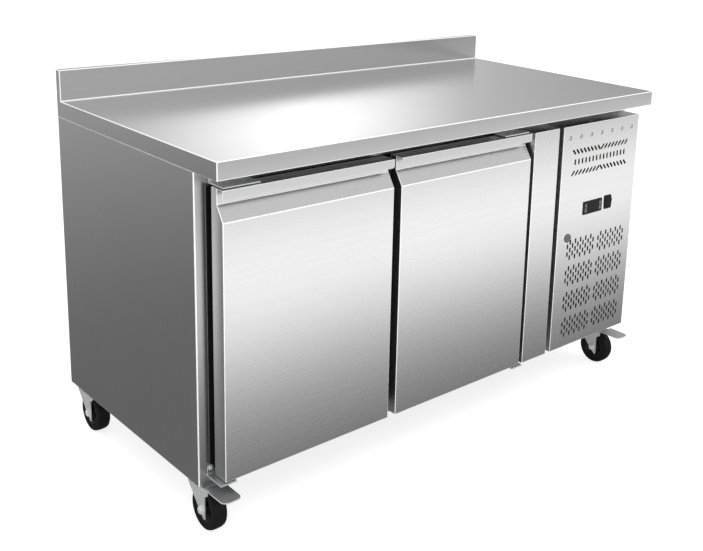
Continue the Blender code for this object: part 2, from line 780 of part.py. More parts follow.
def make_fan_motor(name, radius, length, axis, back, reach, drop, mat):
    """Motor can on a four-armed spider with stand-offs down to its panel."""
    can = rod(name, radius, 0, length, "z", (0, 0, 0), 20, mat)
    arm = reach + 0.005
    half = 0.006
    low, high = 0.004, 0.007
    join(can, box("part", (-arm, -half, low), (arm, half, high)))
    join(can, box("part", (-half, -arm, low), (half, arm, high)))
    for dx, dy in ((1, 0), (-1, 0), (0, 1), (0, -1)):
        foot = (dx * reach, dy * reach, 0)
        join(can, rod("part", 0.0035, -drop, low + 0.001, "z", foot, 8))
    can.data.transform(Matrix.Translation(back) @ facing(axis))
    shade(can, 30)
    return can


def make_unit_tray(steel):
    z0 = BASE_Z + BASE_FLANGE + TRAY_LIFT
    low = (TRAY_X[0], TRAY_Y[0], z0)
    high = (TRAY_X[1], TRAY_Y[1], z0 + TRAY_H)
    tray = box("unit_tray", low, high, steel)
    t = TRAY_T
    inner_low = [v + t for v in low]
    inner_high = (high[0] - t, high[1] - t, high[2] + PLUNGE)
    return cut(tray, box("cutter", inner_low, inner_high))


def make_compressor(paint):
    """Hermetic compressor: domed shell with a waist seam on a foot plate."""
    z0 = BASE_Z + BASE_FLANGE + TRAY_LIFT + TRAY_T + GAP
    cx, cy = COMP_C
    w, d = COMP_PLATE
    plate = box("compressor", (cx - w, cy - d, z0 + 0.012), (cx + w, cy + d, z0 + 0.015), paint)
    profile = [(0, z0 + 0.014), (0.050, z0 + 0.014), (0.072, z0 + 0.035), (COMP_R, z0 + 0.095)]
    profile += [(SEAM_R, z0 + 0.097), (SEAM_R, z0 + 0.102), (COMP_R, z0 + 0.104)]
    dome_z = z0 + COMP_DOME_Z
    for degrees in (0, 20, 40, 60, 78):
        a = math.radians(degrees)
        profile.append((COMP_R * math.cos(a), dome_z + COMP_DOME_H * math.sin(a)))
    profile.append((0, dome_z + COMP_DOME_H))
    join(plate, turned("part", profile, (cx, cy, 0), "z", 20))
    for sx in (-1, 1):
        for sy in (-1, 1):
            foot = (cx + sx * COMP_FOOT[0], cy + sy * COMP_FOOT[1], 0)
            join(plate, rod("part", 0.010, z0, z0 + 0.013, "z", foot, 10))
    shade(plate, 30)
    return plate


def make_coil(name, corners, axis, mat):
    """Finned block: closely spaced upright grooves in its two open faces."""
    low, high = corners
    block = box(name, low, high, mat)
    span = high[axis] - low[axis]
    pitch = span / COIL_FINS
    across = 1 - axis
    grooves = []
    for k in range(COIL_FINS):
        for face, reach in ((low[across], 1), (high[across], -1)):
            a = list(low)
            b = list(high)
            a[axis] = low[axis] + (k + 0.25) * pitch
            b[axis] = a[axis] + pitch * 0.5
            ends = sorted((face - reach * PLUNGE, face + reach * COIL_EDGE))
            a[across], b[across] = ends
            a[2] += COIL_EDGE
            b[2] -= COIL_EDGE
            grooves.append(box("cutter", a, b))
    return cut(block, *grooves)


def make_shroud(paint):
    x0, x1 = SHROUD_X
    y0, y1 = SHROUD_Y, SHROUD_Y + SHROUD_D
    z0, z1 = SHROUD_Z
    t = SHROUD_T
    pressing = box("fan_shroud", (x0, y0, z0), (x1, y1, z1), paint)
    cut(pressing, box("cutter", (x0 + t, y0 - PLUNGE, z0 + t), (x1 - t, y1 - t, z1 - t)))
    centre = (FAN_C[0], 0, FAN_C[1])
    return cut(pressing, rod("cutter", SHROUD_HOLE_R, y0, y1 + PLUNGE, "y", centre, 32))


def make_evaporator_cover(white):
    """Moulded cover across the room's end wall, with fan outlet and inlet."""
    x0 = EVAP_COVER_X
    y0, y1 = CAB_FRONT + 0.010, ROOM_Y_BACK - 0.002
    z0, z1 = ROOM_Z[0] + 0.014, ROOM_Z[1] - 0.014
    x1 = x0 + EVAP_COVER_T
    cover = box("evaporator_cover", (x0, y0, z0), (x1, y1, z1), white)
    a, b = x0 - PLUNGE, x1 + PLUNGE
    slots = [rod("cutter", EVAP_HOLE_R, a, b, "x", (0, *EVAP_FAN_C), 32)]
    for k in range(8):
        y = -0.17 + k * 0.055
        slots.append(box("cutter", (a, y, z0 + 0.03), (b, y + 0.030, z0 + 0.12)))
    return cut(cover, *slots)


# -------------------------------------------------------------------- castors
def make_castor_plate(name, x, y, zinc):
    z1 = BASE_Z - GAP
    z0 = HEAD_TOP + GAP
    outline = rounded_rect(x, y, *CASTOR_PLATE, 0.006, 3)
    plate = prism(name, outline, "z", z0, z1, zinc)
    peg = rod("part", KINGPIN_R, HEAD_TOP - 0.012, z0 + 0.001, "z", (x, y, 0), 20)
    return join(plate, peg)


def make_fork(name, x, y, zinc):
    """Pressed fork with its swivel head and axle bolt."""
    wy = y - TRAIL
    wz = WHEEL_R
    z0, z1 = CROWN_Z
    out = LEG_IN + LEG_T
    front = wy - LEG_FRONT
    tab = wy - LEG_TAB
    rear = wy + LEG_REAR
    crown = box(name, (x - out, front - 0.0005, z0), (x + out, rear, z1), zinc)
    profile = [
        (KINGPIN_R + 0.0005, HEAD_TOP - 0.014), (KINGPIN_R + 0.0005, HEAD_TOP), (HEAD_R - 0.002, HEAD_TOP),
        (HEAD_R, HEAD_TOP - 0.003), (HEAD_R, z1 + 0.004), (HEAD_R - 0.004, z0 + 0.001), (0, z0 + 0.001),
        (0, HEAD_TOP - 0.014),
    ]
    profile = profile[-2:] + profile[:-2]
    leg_outline = [
        (tab, z1), (tab, z0 - 0.009), (front, z0 - 0.016), (front, wz - 0.019),
        (wy - 0.009, wz - 0.018), (wy + 0.009, wz - 0.002), (rear - 0.004, z0 - 0.006), (rear, z1),
    ]
    for side in (-1, 1):
        a = x + side * LEG_IN
        b = x + side * out
        join(crown, prism("part", leg_outline, "x", min(a, b), max(a, b)))
    head = turned("part", profile, (x, y, 0), "z", 16)
    join(crown, head)
    half = out + NUT_T + 0.001
    join(crown, rod("part", AXLE_R, x - half, x + half, "x", (0, wy, wz), 12))
    for side in (-1, 1):
        a = x + side * (out - 0.0005)
        b = x + side * (out + NUT_T)
        join(crown, rod("part", NUT_R, min(a, b), max(a, b), "x", (0, wy, wz), 6))
    shade(crown, 30)
    return set_origin(crown, (x, y, HEAD_TOP))


def make_wheel(name, x, y, rubber):
    wy = y - TRAIL
    bore = AXLE_R + 0.0004
    half = WHEEL_W / 2
    profile = [(bore, -half), (WHEEL_R - 0.006, -half), (WHEEL_R, -half + 0.007)]
    profile += [(r, -h) for r, h in reversed(profile)]
    wheel = turned(name, profile, (x, wy, WHEEL_R), "x", 28, rubber)
    return set_origin(wheel, (x, wy, WHEEL_R))


def make_pedal(name, x, y, zinc):
    """Bent brake pedal on a cross barrel between the fork's front tabs."""
    py = y - TRAIL - PEDAL_REACH
    t = PEDAL_T
    tip = y - PEDAL_TIP
    flat = PEDAL_FLAT_Z
    side = [
        (py, PEDAL_Z - 0.001), (py - 0.006, PEDAL_Z), (py - 0.012, flat), (tip, flat),
        (tip, flat + t), (py - 0.013, flat + t), (py - 0.007, PEDAL_Z + t), (py, PEDAL_Z + t - 0.001),
    ]
    half = PEDAL_HALF_W
    pad = prism(name, side, "x", x - half, x + half, zinc)
    below, above = flat - PLUNGE, flat + PLUNGE
    narrow = LEG_IN - 0.0008
    for s in (-1, 1):
        a = x + s * narrow
        b = x + s * (half + PLUNGE)
        low = (min(a, b), py - 0.0085, below)
        cut(pad, box("cutter", low, (max(a, b), py + PLUNGE, above)))
    r = PEDAL_CORNER_R
    corner_y = tip + r
    keep = [(x - half, py + PLUNGE), (x - half, corner_y)]
    keep += arc(x - half + r, corner_y, r, 180, 270, 5)
    keep += arc(x + half - r, corner_y, r, 270, 360, 5)
    keep += [(x + half, py + PLUNGE)]
    boolean(pad, (prism("part", keep, "z", below, above),), "INTERSECT")
    join(pad, rod("part", BARREL_R, x - narrow, x + narrow, "x", (0, py, PEDAL_Z), 16))
    return set_origin(pad, (x, py, PEDAL_Z))


# -------------------------------------------------------------------- assembly
def clear_scene():
    for obj in list(bpy.data.objects):
        bpy.data.objects.remove(obj, do_unlink=True)


def main():
    clear_scene()
    mats = {
        "steel": material("stainless", (0.62, 0.62, 0.62), 0.32, 1.0),
        "inner_steel": material("stainless_inner", (0.60, 0.60, 0.60), 0.38, 1.0),
        "foam": material("insulation_foam", (0.75, 0.62, 0.35), 0.95, 0.0),
        "black": material("black_plastic", (0.02, 0.02, 0.02), 0.45, 0.0),
        "key": material("grey_key", (0.16, 0.16, 0.17), 0.55, 0.0),
        "grey": material("grey_plastic", (0.10, 0.10, 0.105), 0.50, 0.0),
        "white": material("white_liner", (0.80, 0.80, 0.79), 0.40, 0.0),
        "rubber": material("gasket_rubber", (0.03, 0.03, 0.03), 0.75, 0.0),
        "tyre": material("tyre_rubber", (0.015, 0.015, 0.015), 0.70, 0.0),
        "zinc": material("zinc_plate", (0.55, 0.56, 0.57), 0.35, 1.0),
        "wire": material("coated_wire", (0.78, 0.78, 0.77), 0.35, 0.0),
        "paint": material("black_paint", (0.02, 0.02, 0.022), 0.40, 0.0),
        "coil": material("coil_aluminium", (0.70, 0.71, 0.72), 0.40, 1.0),
    }
    steel = mats["steel"]
    make_worktop(steel)
    make_side_panel("left_side_panel", -1, steel)
    make_side_panel("right_side_panel", 1, steel)
    make_back_panel(steel)
    make_base_pan(steel)
    make_insulation(mats["foam"])
    make_liner(mats["inner_steel"])
    make_front_frame(steel)
    make_breaker_strip(mats["black"])
    make_pan_panel("filler_panel", FILLER_X, steel)
    make_grille_panel(steel)

    make_thermostat(mats["black"])
    make_thermostat_key("thermostat_key_left", -1, mats["key"])
    make_thermostat_key("thermostat_key_right", 1, mats["key"])
    make_switch_body(mats["black"])
    make_rocker(mats["black"])
    make_panel_lock(mats["grey"])

    for prefix, span, side in (("left", LEFT_DOOR_X, -1), ("right", RIGHT_DOOR_X, 1)):
        make_door(prefix, span, side, mats)
        make_upper_hinge(prefix + "_upper_hinge", span, side, mats["zinc"])
        make_lower_hinge(prefix + "_lower_hinge", span, side, mats["zinc"])
        cx = bay_centre(span)
        make_shelf(prefix + "_shelf", cx, mats["wire"])
        make_runner(prefix + "_shelf_runner_a", cx, -1, mats["inner_steel"])
        make_runner(prefix + "_shelf_runner_b", cx, 1, mats["inner_steel"])

    make_unit_tray(steel)
    make_compressor(mats["paint"])
    make_coil("condenser_coil", CONDENSER, 0, mats["coil"])
    make_shroud(mats["paint"])
    centre = (FAN_C[0], SHROUD_Y + 0.028, FAN_C[1])
    make_fan("condenser_fan_blade", 0.022, 0.088, "y", centre, 0.024, mats["paint"])
    back = (FAN_C[0], SHROUD_Y + 0.046, FAN_C[1])
    make_fan_motor("condenser_fan_motor", 0.036, 0.055, "y", back, 0.104, 0.0277, mats["paint"])

    make_coil("evaporator_coil", EVAPORATOR, 1, mats["coil"])
    make_evaporator_cover(mats["white"])
    fan_x = EVAP_COVER_X + 0.022
    centre = (fan_x, *EVAP_FAN_C)
    make_fan("evaporator_fan_blade", 0.018, 0.074, "x", centre, 0.018, mats["paint"])
    back = (fan_x + 0.014, *EVAP_FAN_C)
    make_fan_motor("evaporator_fan_motor", 0.030, 0.045, "x", back, 0.088, 0.0332, mats["paint"])

    for row, y in CASTOR_Y.items():
        for label, side in (("left", -1), ("right", 1)):
            x = side * CASTOR_X
            tag = f"{row}_{label}"
            make_castor_plate(tag + "_castor_plate", x, y, mats["zinc"])
            make_fork(tag + "_castor_fork", x, y, mats["zinc"])
            make_wheel(tag + "_castor_wheel", x, y, mats["tyre"])
            if row == "front":
                make_pedal(tag + "_brake_pedal", x, y, mats["zinc"])


main()
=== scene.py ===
"""Looks of the two-door undercounter refrigerator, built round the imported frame."""
import json
import math

import bmesh
import bpy
from mathutils import Matrix, Vector
from mathutils.geometry import delaunay_2d_cdt

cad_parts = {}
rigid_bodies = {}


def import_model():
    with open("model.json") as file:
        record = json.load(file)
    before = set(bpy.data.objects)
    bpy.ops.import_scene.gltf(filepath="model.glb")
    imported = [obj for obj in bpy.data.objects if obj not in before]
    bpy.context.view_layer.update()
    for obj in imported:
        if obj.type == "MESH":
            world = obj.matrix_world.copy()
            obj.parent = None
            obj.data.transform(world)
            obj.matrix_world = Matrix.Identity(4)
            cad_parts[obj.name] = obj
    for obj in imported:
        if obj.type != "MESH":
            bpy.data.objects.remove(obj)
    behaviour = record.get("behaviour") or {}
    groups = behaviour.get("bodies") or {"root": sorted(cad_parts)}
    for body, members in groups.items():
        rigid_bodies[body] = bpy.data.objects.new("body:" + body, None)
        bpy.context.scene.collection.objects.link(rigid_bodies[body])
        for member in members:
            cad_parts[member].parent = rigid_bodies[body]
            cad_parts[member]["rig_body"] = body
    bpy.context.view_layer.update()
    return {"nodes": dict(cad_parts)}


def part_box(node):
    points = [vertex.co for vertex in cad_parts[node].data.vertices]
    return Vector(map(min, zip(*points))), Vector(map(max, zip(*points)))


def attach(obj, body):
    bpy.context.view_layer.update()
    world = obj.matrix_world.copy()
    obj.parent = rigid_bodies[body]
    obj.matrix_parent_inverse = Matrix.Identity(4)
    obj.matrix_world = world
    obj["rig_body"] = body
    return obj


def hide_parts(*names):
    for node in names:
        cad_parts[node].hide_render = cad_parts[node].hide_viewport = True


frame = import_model()
NODES = frame["nodes"]
SCENE = bpy.context.scene

SHEET = 0.0012
WELD = 0.00001          # vertices closer than this are one
THIN = 0.003            # edges shorter than this cross a sheet's thickness
TOUCH = 0.0003
LEVEL_ANGLE = math.radians(0.6)         # faces closer than this are one
FOLD_ANGLE = math.radians(24)           # edges sharper than this are rounded
CORNERS = ("front_left", "front_right", "rear_left", "rear_right")


# ------------------------------------------------------------------ materials
class Nodes:
    """One procedural material, patterned in the object's own space."""

    def __init__(self, name):
        self.mat = bpy.data.materials.new(name)
        self.mat.use_nodes = True
        self.tree = self.mat.node_tree

    def node(self, kind, **values):
        """New node with some of its inputs set by name."""
        node = self.tree.nodes.new("ShaderNode" + kind)
        self.fill(node, values)
        return node

    def fill(self, node, values):
        for key, value in values.items():
            node.inputs[key.replace("_", " ")].default_value = value

    def join(self, output, socket):
        self.tree.links.new(output, socket)

    def connect(self, part, socket):
        """Feed a socket from another node or with a fixed value."""
        if isinstance(part, bpy.types.NodeSocket):
            self.join(part, socket)
        else:
            socket.default_value = part

    def mix(self, share, first, second, blend_type="MIX"):
        node = self.node("Mix")
        node.data_type = "RGBA"
        node.blend_type = blend_type
        for number, part in ((0, share), (6, first), (7, second)):
            self.connect(part, node.inputs[number])
        return node.outputs[2]


class Look(Nodes):
    """Surface finish on the standard shader."""

    def __init__(self, name, metallic=0.0, **sockets):
        super().__init__(name)
        self.shader = self.tree.nodes["Principled BSDF"]
        self.shader.inputs["Metallic"].default_value = metallic
        self.fill(self.shader, sockets)
        self.where = self.node("TexCoord").outputs["Object"]

    def noise(self, scale, detail=3.0, rough=0.55):
        """Noise stretched by a scale for each axis."""
        spread = self.node("Mapping", Scale=scale)
        self.join(self.where, spread.inputs["Vector"])
        node = self.node("TexNoise", Scale=1.0, Detail=detail, Roughness=rough)
        self.join(spread.outputs["Vector"], node.inputs["Vector"])
        return node.outputs["Fac"]

    def cells(self, scale):
        node = self.node("TexVoronoi", Scale=scale)
        self.join(self.where, node.inputs["Vector"])
        return node.outputs["Distance"]

    def spread(self, value, low, high):
        """Number that runs from low to high with the middle half of value."""
        node = self.node("MapRange", From_Min=0.25, From_Max=0.75, To_Min=low, To_Max=high)
        self.join(value, node.inputs["Value"])
        return node.outputs["Result"]

    def blend(self, value, first, second):
        """Colour that runs from first to second as value rises."""
        node = self.node("ValToRGB")
        for element, at, colour in zip(node.color_ramp.elements, (0.28, 0.72), (first, second)):
            element.position = at
            element.color = (*colour, 1.0)
        self.join(value, node.inputs["Fac"])
        return node.outputs["Color"]

    def multiply(self, first, second):
        return self.mix(1.0, first, second, "MULTIPLY")

    def colour(self, output):
        self.join(output, self.shader.inputs["Base Color"])

    def roughness(self, output):
        self.join(output, self.shader.inputs["Roughness"])

    def bump(self, output, strength, distance):
        node = self.node("Bump", Strength=strength, Distance=distance)
        self.join(output, node.inputs["Height"])
        self.join(node.outputs["Normal"], self.shader.inputs["Normal"])


def grey(value, tint=(1.0, 1.0, 1.0)):
    return tuple(value * t for t in tint)


def brushed(name, value, rough, grain, tint=(1.0, 1.0, 1.0), depth=0.006, metallic=1.0):
    """Brushed stainless sheet whose grain runs along one axis."""
    look = Look(name, metallic=metallic)
    fine = {"x": (8, 2400, 2400), "y": (2400, 8, 2400), "z": (2400, 2400, 8)}[grain]
    wide = {"x": (1.2, 160, 160), "y": (160, 1.2, 160), "z": (160, 160, 1.2)}[grain]
    lines = look.noise(fine, 2.0, 0.6)
    bands = look.noise(wide, 2.0, 0.5)
    cloud = look.noise((3.5, 3.5, 3.5), 3.0, 0.5)
    base = look.blend(lines, grey(value * 0.985, tint), grey(value, tint))
    base = look.multiply(base, look.blend(bands, grey(0.993), grey(1.0)))
    base = look.multiply(base, look.blend(cloud, grey(0.975), grey(1.0)))
    look.colour(base)
    look.roughness(look.spread(bands, rough - 0.01, rough + 0.015))
    look.bump(lines, depth, 0.0002)
    return look.mat


def moulded(name, colour, rough, grain=700.0, depth=0.25, wear=1.35, shine=0.45):
    """Moulded plastic or rubber: fine pebble, cloudy colour, rubbed patches."""
    look = Look(name, Specular_IOR_Level=shine)
    pebble = look.noise((grain,) * 3, 2.0, 0.6)
    cloud = look.noise((24.0,) * 3, 4.0, 0.6)
    light = tuple(min(1.0, c * wear) for c in colour)
    look.colour(look.blend(cloud, colour, light))
    look.roughness(look.spread(cloud, rough - 0.07, rough + 0.08))
    look.bump(pebble, depth, 0.0003)
    return look.mat


def plated(name, value, rough, tint, metallic=1.0):
    """Zinc-plated or painted metal with soft spangle and scuffs."""
    look = Look(name, metallic=metallic)
    spangle = look.cells(260.0)
    scuff = look.noise((60.0, 60.0, 240.0), 4.0, 0.6)
    base = look.blend(scuff, grey(value * 0.80, tint), grey(value, tint))
    base = look.multiply(base, look.blend(spangle, grey(0.88), grey(1.0)))
    look.colour(base)
    look.roughness(look.spread(scuff, rough - 0.06, rough + 0.10))
    look.bump(scuff, 0.12, 0.0003)
    return look.mat


STEEL_X = brushed("steel_grain_along_x", 0.66, 0.27, "x")
STEEL_Z = brushed("steel_grain_upright", 0.66, 0.28, "z")
TOP_STEEL = brushed("worktop_steel", 0.66, 0.20, "x")
DULL_STEEL = brushed("galvanised_sheet", 0.50, 0.42, "x", (0.97, 0.99, 1.0), 0.2)
LINER_STEEL = brushed("liner_steel", 0.60, 0.36, "y")
# Fold rims: near-white, barely metallic steel. Partly the real polish of a brushed fold, mostly a painted
# highlight along every rounded fold and rim.
FOLD_HIGHLIGHT_STEEL = brushed("polished_fold_painted_highlight", 0.97, 0.24, "x", depth=0.03, metallic=0.35)
ZINC = plated("zinc_plate", 0.66, 0.34, (0.97, 0.99, 1.0), 0.80)
# Bright zinc for screws, bolts, nuts and washers; on the rims of the lower hinge arms and brake pedals it
# is a painted highlight.
BRIGHT_ZINC_AND_RIM_HIGHLIGHT = plated("bright_zinc_and_rim_highlight", 0.90, 0.26, (0.96, 0.99, 1.0), 0.45)
COPPER = plated("copper_tube", 0.72, 0.30, (1.0, 0.52, 0.34))
# Upper hinge plates: zinc lightened to near white and barely metallic, a painted highlight on the plates.
HINGE_ZINC_HIGHLIGHT = plated("hinge_plate_zinc_painted_highlight", 0.92, 0.30, (0.95, 0.99, 1.0), 0.25)
FORK_ZINC = plated("fork_zinc", 0.86, 0.36, (0.97, 0.99, 1.0), 0.60)
# Dark steel for the grille's hole walls: painted shade that makes the slots read dark, on top of the cut
# edge's own slightly darker tone.
CUT_EDGE_SHADE = plated("cut_edge_painted_shade", 0.22, 0.55, (1.0, 1.0, 1.0), 0.80)
ARM_ZINC = plated("hinge_arm_zinc", 0.40, 0.36, (0.98, 0.99, 1.0), 0.75)
PEDAL_ZINC = plated("pedal_zinc", 0.44, 0.36, (0.98, 0.99, 1.0), 0.70)
END_STEEL = brushed("worktop_end_steel", 0.64, 0.20, "y")
FIN = brushed("fin_aluminium", 0.74, 0.38, "z", depth=0.2)
BLACK = moulded("black_plastic", (0.006, 0.006, 0.007), 0.42, shine=0.14)
GREY_PLASTIC = moulded("grey_plastic", (0.085, 0.085, 0.09), 0.50)
KEY = moulded("grey_key", (0.05, 0.052, 0.055), 0.55)
GASKET = moulded("gasket_rubber", (0.020, 0.020, 0.021), 0.62, 900.0, 0.2)
TYRE = moulded("tyre_rubber", (0.005, 0.005, 0.005), 0.46, 420.0, 0.3, 1.7, 0.16)
HUB = moulded("wheel_hub_plastic", (0.008, 0.008, 0.008), 0.34, 800.0, 0.15, shine=0.30)
WHITE = moulded("white_moulding", (0.72, 0.72, 0.70), 0.38, 500.0, 0.15, 1.06)
WIRE = moulded("coated_wire", (0.66, 0.66, 0.64), 0.33, 300.0, 0.2, 1.12)
PAINT = moulded("black_paint", (0.015, 0.015, 0.017), 0.33, 260.0, 0.3, 1.5)
FOAM = moulded("insulation_foam", (0.62, 0.50, 0.27), 0.90, 150.0, 0.8, 1.2)
MARK = moulded("key_mark", (0.55, 0.56, 0.57), 0.50)


def display_look():
    """Dark glossy window over an unlit display."""
    look = Look("display_window", Specular_IOR_Level=0.05, Coat_Weight=0.03, Coat_Roughness=0.08)
    haze = look.noise((60.0,) * 3, 3.0)
    look.colour(look.blend(haze, (0.006, 0.006, 0.007), (0.011, 0.011, 0.013)))
    look.roughness(look.spread(haze, 0.12, 0.22))
    look.bump(haze, 0.02, 0.0002)
    return look.mat


WINDOW = display_look()


# -------------------------------------------------------------------- outlines
def arc(cx, cy, radius, start, stop, steps):
    """Points along an arc, angles in degrees."""
    points = []
    for k in range(steps + 1):
        a = math.radians(start + (stop - start) * k / steps)
        points.append((cx + radius * math.cos(a), cy + radius * math.sin(a)))
    return points


def fillet(points, radius, steps=4):
    """Closed outline with its corners rounded, by one radius or one for each."""
    out = []
    count = len(points)
    for i, point in enumerate(points):
        r = radius[i] if isinstance(radius, (list, tuple)) else radius
        p = Vector(point)
        before = Vector(points[i - 1]) - p
        after = Vector(points[(i + 1) % count]) - p
        if r <= 0:
            out.append(tuple(p))
            continue
        u = before.normalized()
        v = after.normalized()
        half = math.acos(max(-1.0, min(1.0, u.dot(v)))) / 2
        reach = min(r / math.tan(half), 0.49 * min(before.length, after.length))
        r = reach * math.tan(half)
        centre = p + (u + v).normalized() * (r / math.sin(half))
        first = p + u * reach - centre
        last = p + v * reach - centre
        a0 = math.atan2(first.y, first.x)
        turn = math.atan2(last.y, last.x) - a0
        turn = (turn + math.pi) % (2 * math.pi) - math.pi
        for k in range(steps + 1):
            a = a0 + turn * k / steps
            out.append((centre.x + r * math.cos(a), centre.y + r * math.sin(a)))
    return out


def rectangle(x0, x1, y0, y1, radius=0.0, steps=4):
    corners = [(x0, y0), (x1, y0), (x1, y1), (x0, y1)]
    return fillet(corners, radius, steps) if radius else corners


def front_outline(low, high, grow=0.0, radius=0.0, steps=4):
    """Outline of a box seen from the front, grown on every side."""
    return rectangle(low.x - grow, high.x + grow, low.z - grow, high.z + grow, radius, steps)


def slot_outline(cx, cy, length, width, tilt=0.0, steps=4):
    """Round-ended slot, upright at tilt 0, its top leaning left as tilt grows."""
    half = (length - width) / 2
    points = arc(0, half, width / 2, 0, 180, steps) + arc(0, -half, width / 2, 180, 360, steps)
    c, s = math.cos(math.radians(tilt)), math.sin(math.radians(tilt))
    return [(cx + x * c - y * s, cy + x * s + y * c) for x, y in points]


def signed_area(loop):
    pairs = zip(loop, loop[1:] + loop[:1])
    return sum(a[0] * b[1] - b[0] * a[1] for a, b in pairs) / 2


def wound(loop, counterclockwise):
    return loop if (signed_area(loop) > 0) == counterclockwise else loop[::-1]


def offset(loop, distance):
    """Move a loop towards its left side, mitred at the corners."""
    if not distance:
        return list(loop)
    out = []
    count = len(loop)
    for i in range(count):
        a = (Vector(loop[i]) - Vector(loop[i - 1])).normalized()
        b = (Vector(loop[(i + 1) % count]) - Vector(loop[i])).normalized()
        normal = Vector((-a.y - b.y, a.x + b.x))
        scale = 2.0 / max(0.5, normal.length_squared)
        out.append(tuple(Vector(loop[i]) + normal * scale * distance))
    return out


# ---------------------------------------------------------------- mesh helpers
PLACE = {
    "x": lambda p, t: (t, p[0], p[1]),
    "y": lambda p, t: (p[0], t, p[1]),
    "z": lambda p, t: (p[0], p[1], t),
}
TURN = {                # from upright to a row axis
    "x": Matrix.Rotation(math.radians(90), 4, "Y"),
    "y": Matrix.Rotation(math.radians(-90), 4, "X"),
    "z": Matrix.Identity(4),
}


def ring(bm, loop, axis, height):
    return [bm.verts.new(PLACE[axis](p, height)) for p in loop]


def bridge(bm, first, second, material=0):
    count = len(first)
    for k in range(count):
        n = (k + 1) % count
        face = bm.faces.new((first[k], first[n], second[n], second[k]))
        face.material_index = material


def flat_layer(bm):
    """Face mark for level faces, which keep flat shading beside rounded ones."""
    return bm.faces.layers.int.get("level") or bm.faces.layers.int.new("level")


def cap(bm, parts):
    """Fill between an outline and its holes, given as (points, vertices) pairs."""
    level = flat_layer(bm)
    if len(parts) == 1:
        bm.faces.new(parts[0][1])[level] = 1
        return
    points, verts, owner, edges = [], [], [], []
    for number, (loop, ring_verts) in enumerate(parts):
        start = len(points)
        count = len(loop)
        points += [Vector(p) for p in loop]
        verts += ring_verts
        owner += [number] * count
        edges += [(start + k, start + (k + 1) % count) for k in range(count)]
    _, _, faces, origins, _, _ = delaunay_2d_cdt(points, edges, [], 1, 1e-9)
    for face in faces:
        corners = [origins[i][0] for i in face]
        owners = {owner[i] for i in corners}
        if len(owners) > 1 or 0 in owners:
            bm.faces.new([verts[i] for i in corners])[level] = 1


def plate(bm, outer, holes, axis, levels):
    """Closed plate with holes; each level is (height, outline inset, hole inset)."""
    loops = [wound(outer, True)] + [wound(hole, False) for hole in holes]
    ends = ([], [])
    for i, loop in enumerate(loops):
        rings = []
        for height, outer_in, hole_in in levels:
            moved = offset(loop, hole_in if i else outer_in)
            rings.append((moved, ring(bm, moved, axis, height)))
        for lower, upper in zip(rings, rings[1:]):
            bridge(bm, lower[1], upper[1])
        ends[0].append(rings[0])
        ends[1].append(rings[-1])
    cap(bm, ends[0])
    cap(bm, ends[1])


def slab(bm, outer, axis, low, high, edge=0.0):
    """Plate with both rims chamfered by edge."""
    step = edge if high > low else -edge
    levels = [(low, edge, edge), (low + step, 0, 0), (high - step, 0, 0), (high, edge, edge)]
    if not edge:
        levels = [(low, 0, 0), (high, 0, 0)]
    plate(bm, outer, [], axis, levels)


def block(bm, low, high, edge=0.0):
    slab(bm, rectangle(low[0], high[0], low[1], high[1]), "z", low[2], high[2], edge)


def round_over(start, radius, steps=4):
    """(height, inset) pairs from a flat face into a side wall."""
    pairs = []
    for k in range(steps + 1):
        a = math.radians(90 * k / steps)
        pairs.append((start + radius * (1 - math.cos(a)), radius * (1 - math.sin(a))))
    return pairs


def pan(bm, outer, holes, front, back, sheet, bend):
    """Folded panel facing -Y: a face with holes and a skirt, as one closed shell."""
    outer = wound(outer, True)
    rings = []
    for height, inset in round_over(front, bend) + [(back, 0.0)]:
        moved = offset(outer, inset)
        rings.append((moved, ring(bm, moved, "y", height)))
    for lower, upper in zip(rings, rings[1:]):
        bridge(bm, lower[1], upper[1])
    inner = offset(outer, sheet)
    inner_back = ring(bm, inner, "y", back)
    inner_front = ring(bm, inner, "y", front + sheet)
    bridge(bm, rings[-1][1], inner_back)
    bridge(bm, inner_back, inner_front)
    near, far = [rings[0]], [(inner, inner_front)]
    lip = 0.0002
    for hole in holes:
        hole = wound(hole, False)
        first = offset(hole, lip)
        a = ring(bm, first, "y", front)
        b = ring(bm, hole, "y", front + lip)
        c = ring(bm, hole, "y", front + sheet)
        # Hole walls take the panel's second material, dark cut-edge steel: painted shade inside the
        # holes.
        bridge(bm, a, b, 1)
        bridge(bm, b, c, 1)
        near.append((first, a))
        far.append((hole, c))
    cap(bm, near)
    cap(bm, far)


def turned(bm, profile, centre, axis, segments=48, closed=True):
    """Spin (radius, height) points about a row axis through centre."""
    rings = []
    made = []
    for radius, height in profile:
        if radius < 1e-9:
            rings.append([bm.verts.new((0, 0, height))])
        else:
            angles = [2 * math.pi * k / segments for k in range(segments)]
            points = [(radius * math.cos(a), radius * math.sin(a), height) for a in angles]
            rings.append([bm.verts.new(p) for p in points])
        made += rings[-1]
    pairs = list(zip(rings, rings[1:]))
    if closed and profile[0][0] > 1e-9:
        pairs.append((rings[-1], rings[0]))
    for lower, upper in pairs:
        for k in range(segments):
            n = (k + 1) % segments
            corners = [lower[k % len(lower)], lower[n % len(lower)]]
            corners += [upper[n % len(upper)], upper[k % len(upper)]]
            unique = list(dict.fromkeys(corners))
            if len(unique) > 2:
                bm.faces.new(unique)
    bmesh.ops.transform(bm, matrix=Matrix.Translation(centre) @ TURN[axis], verts=made)


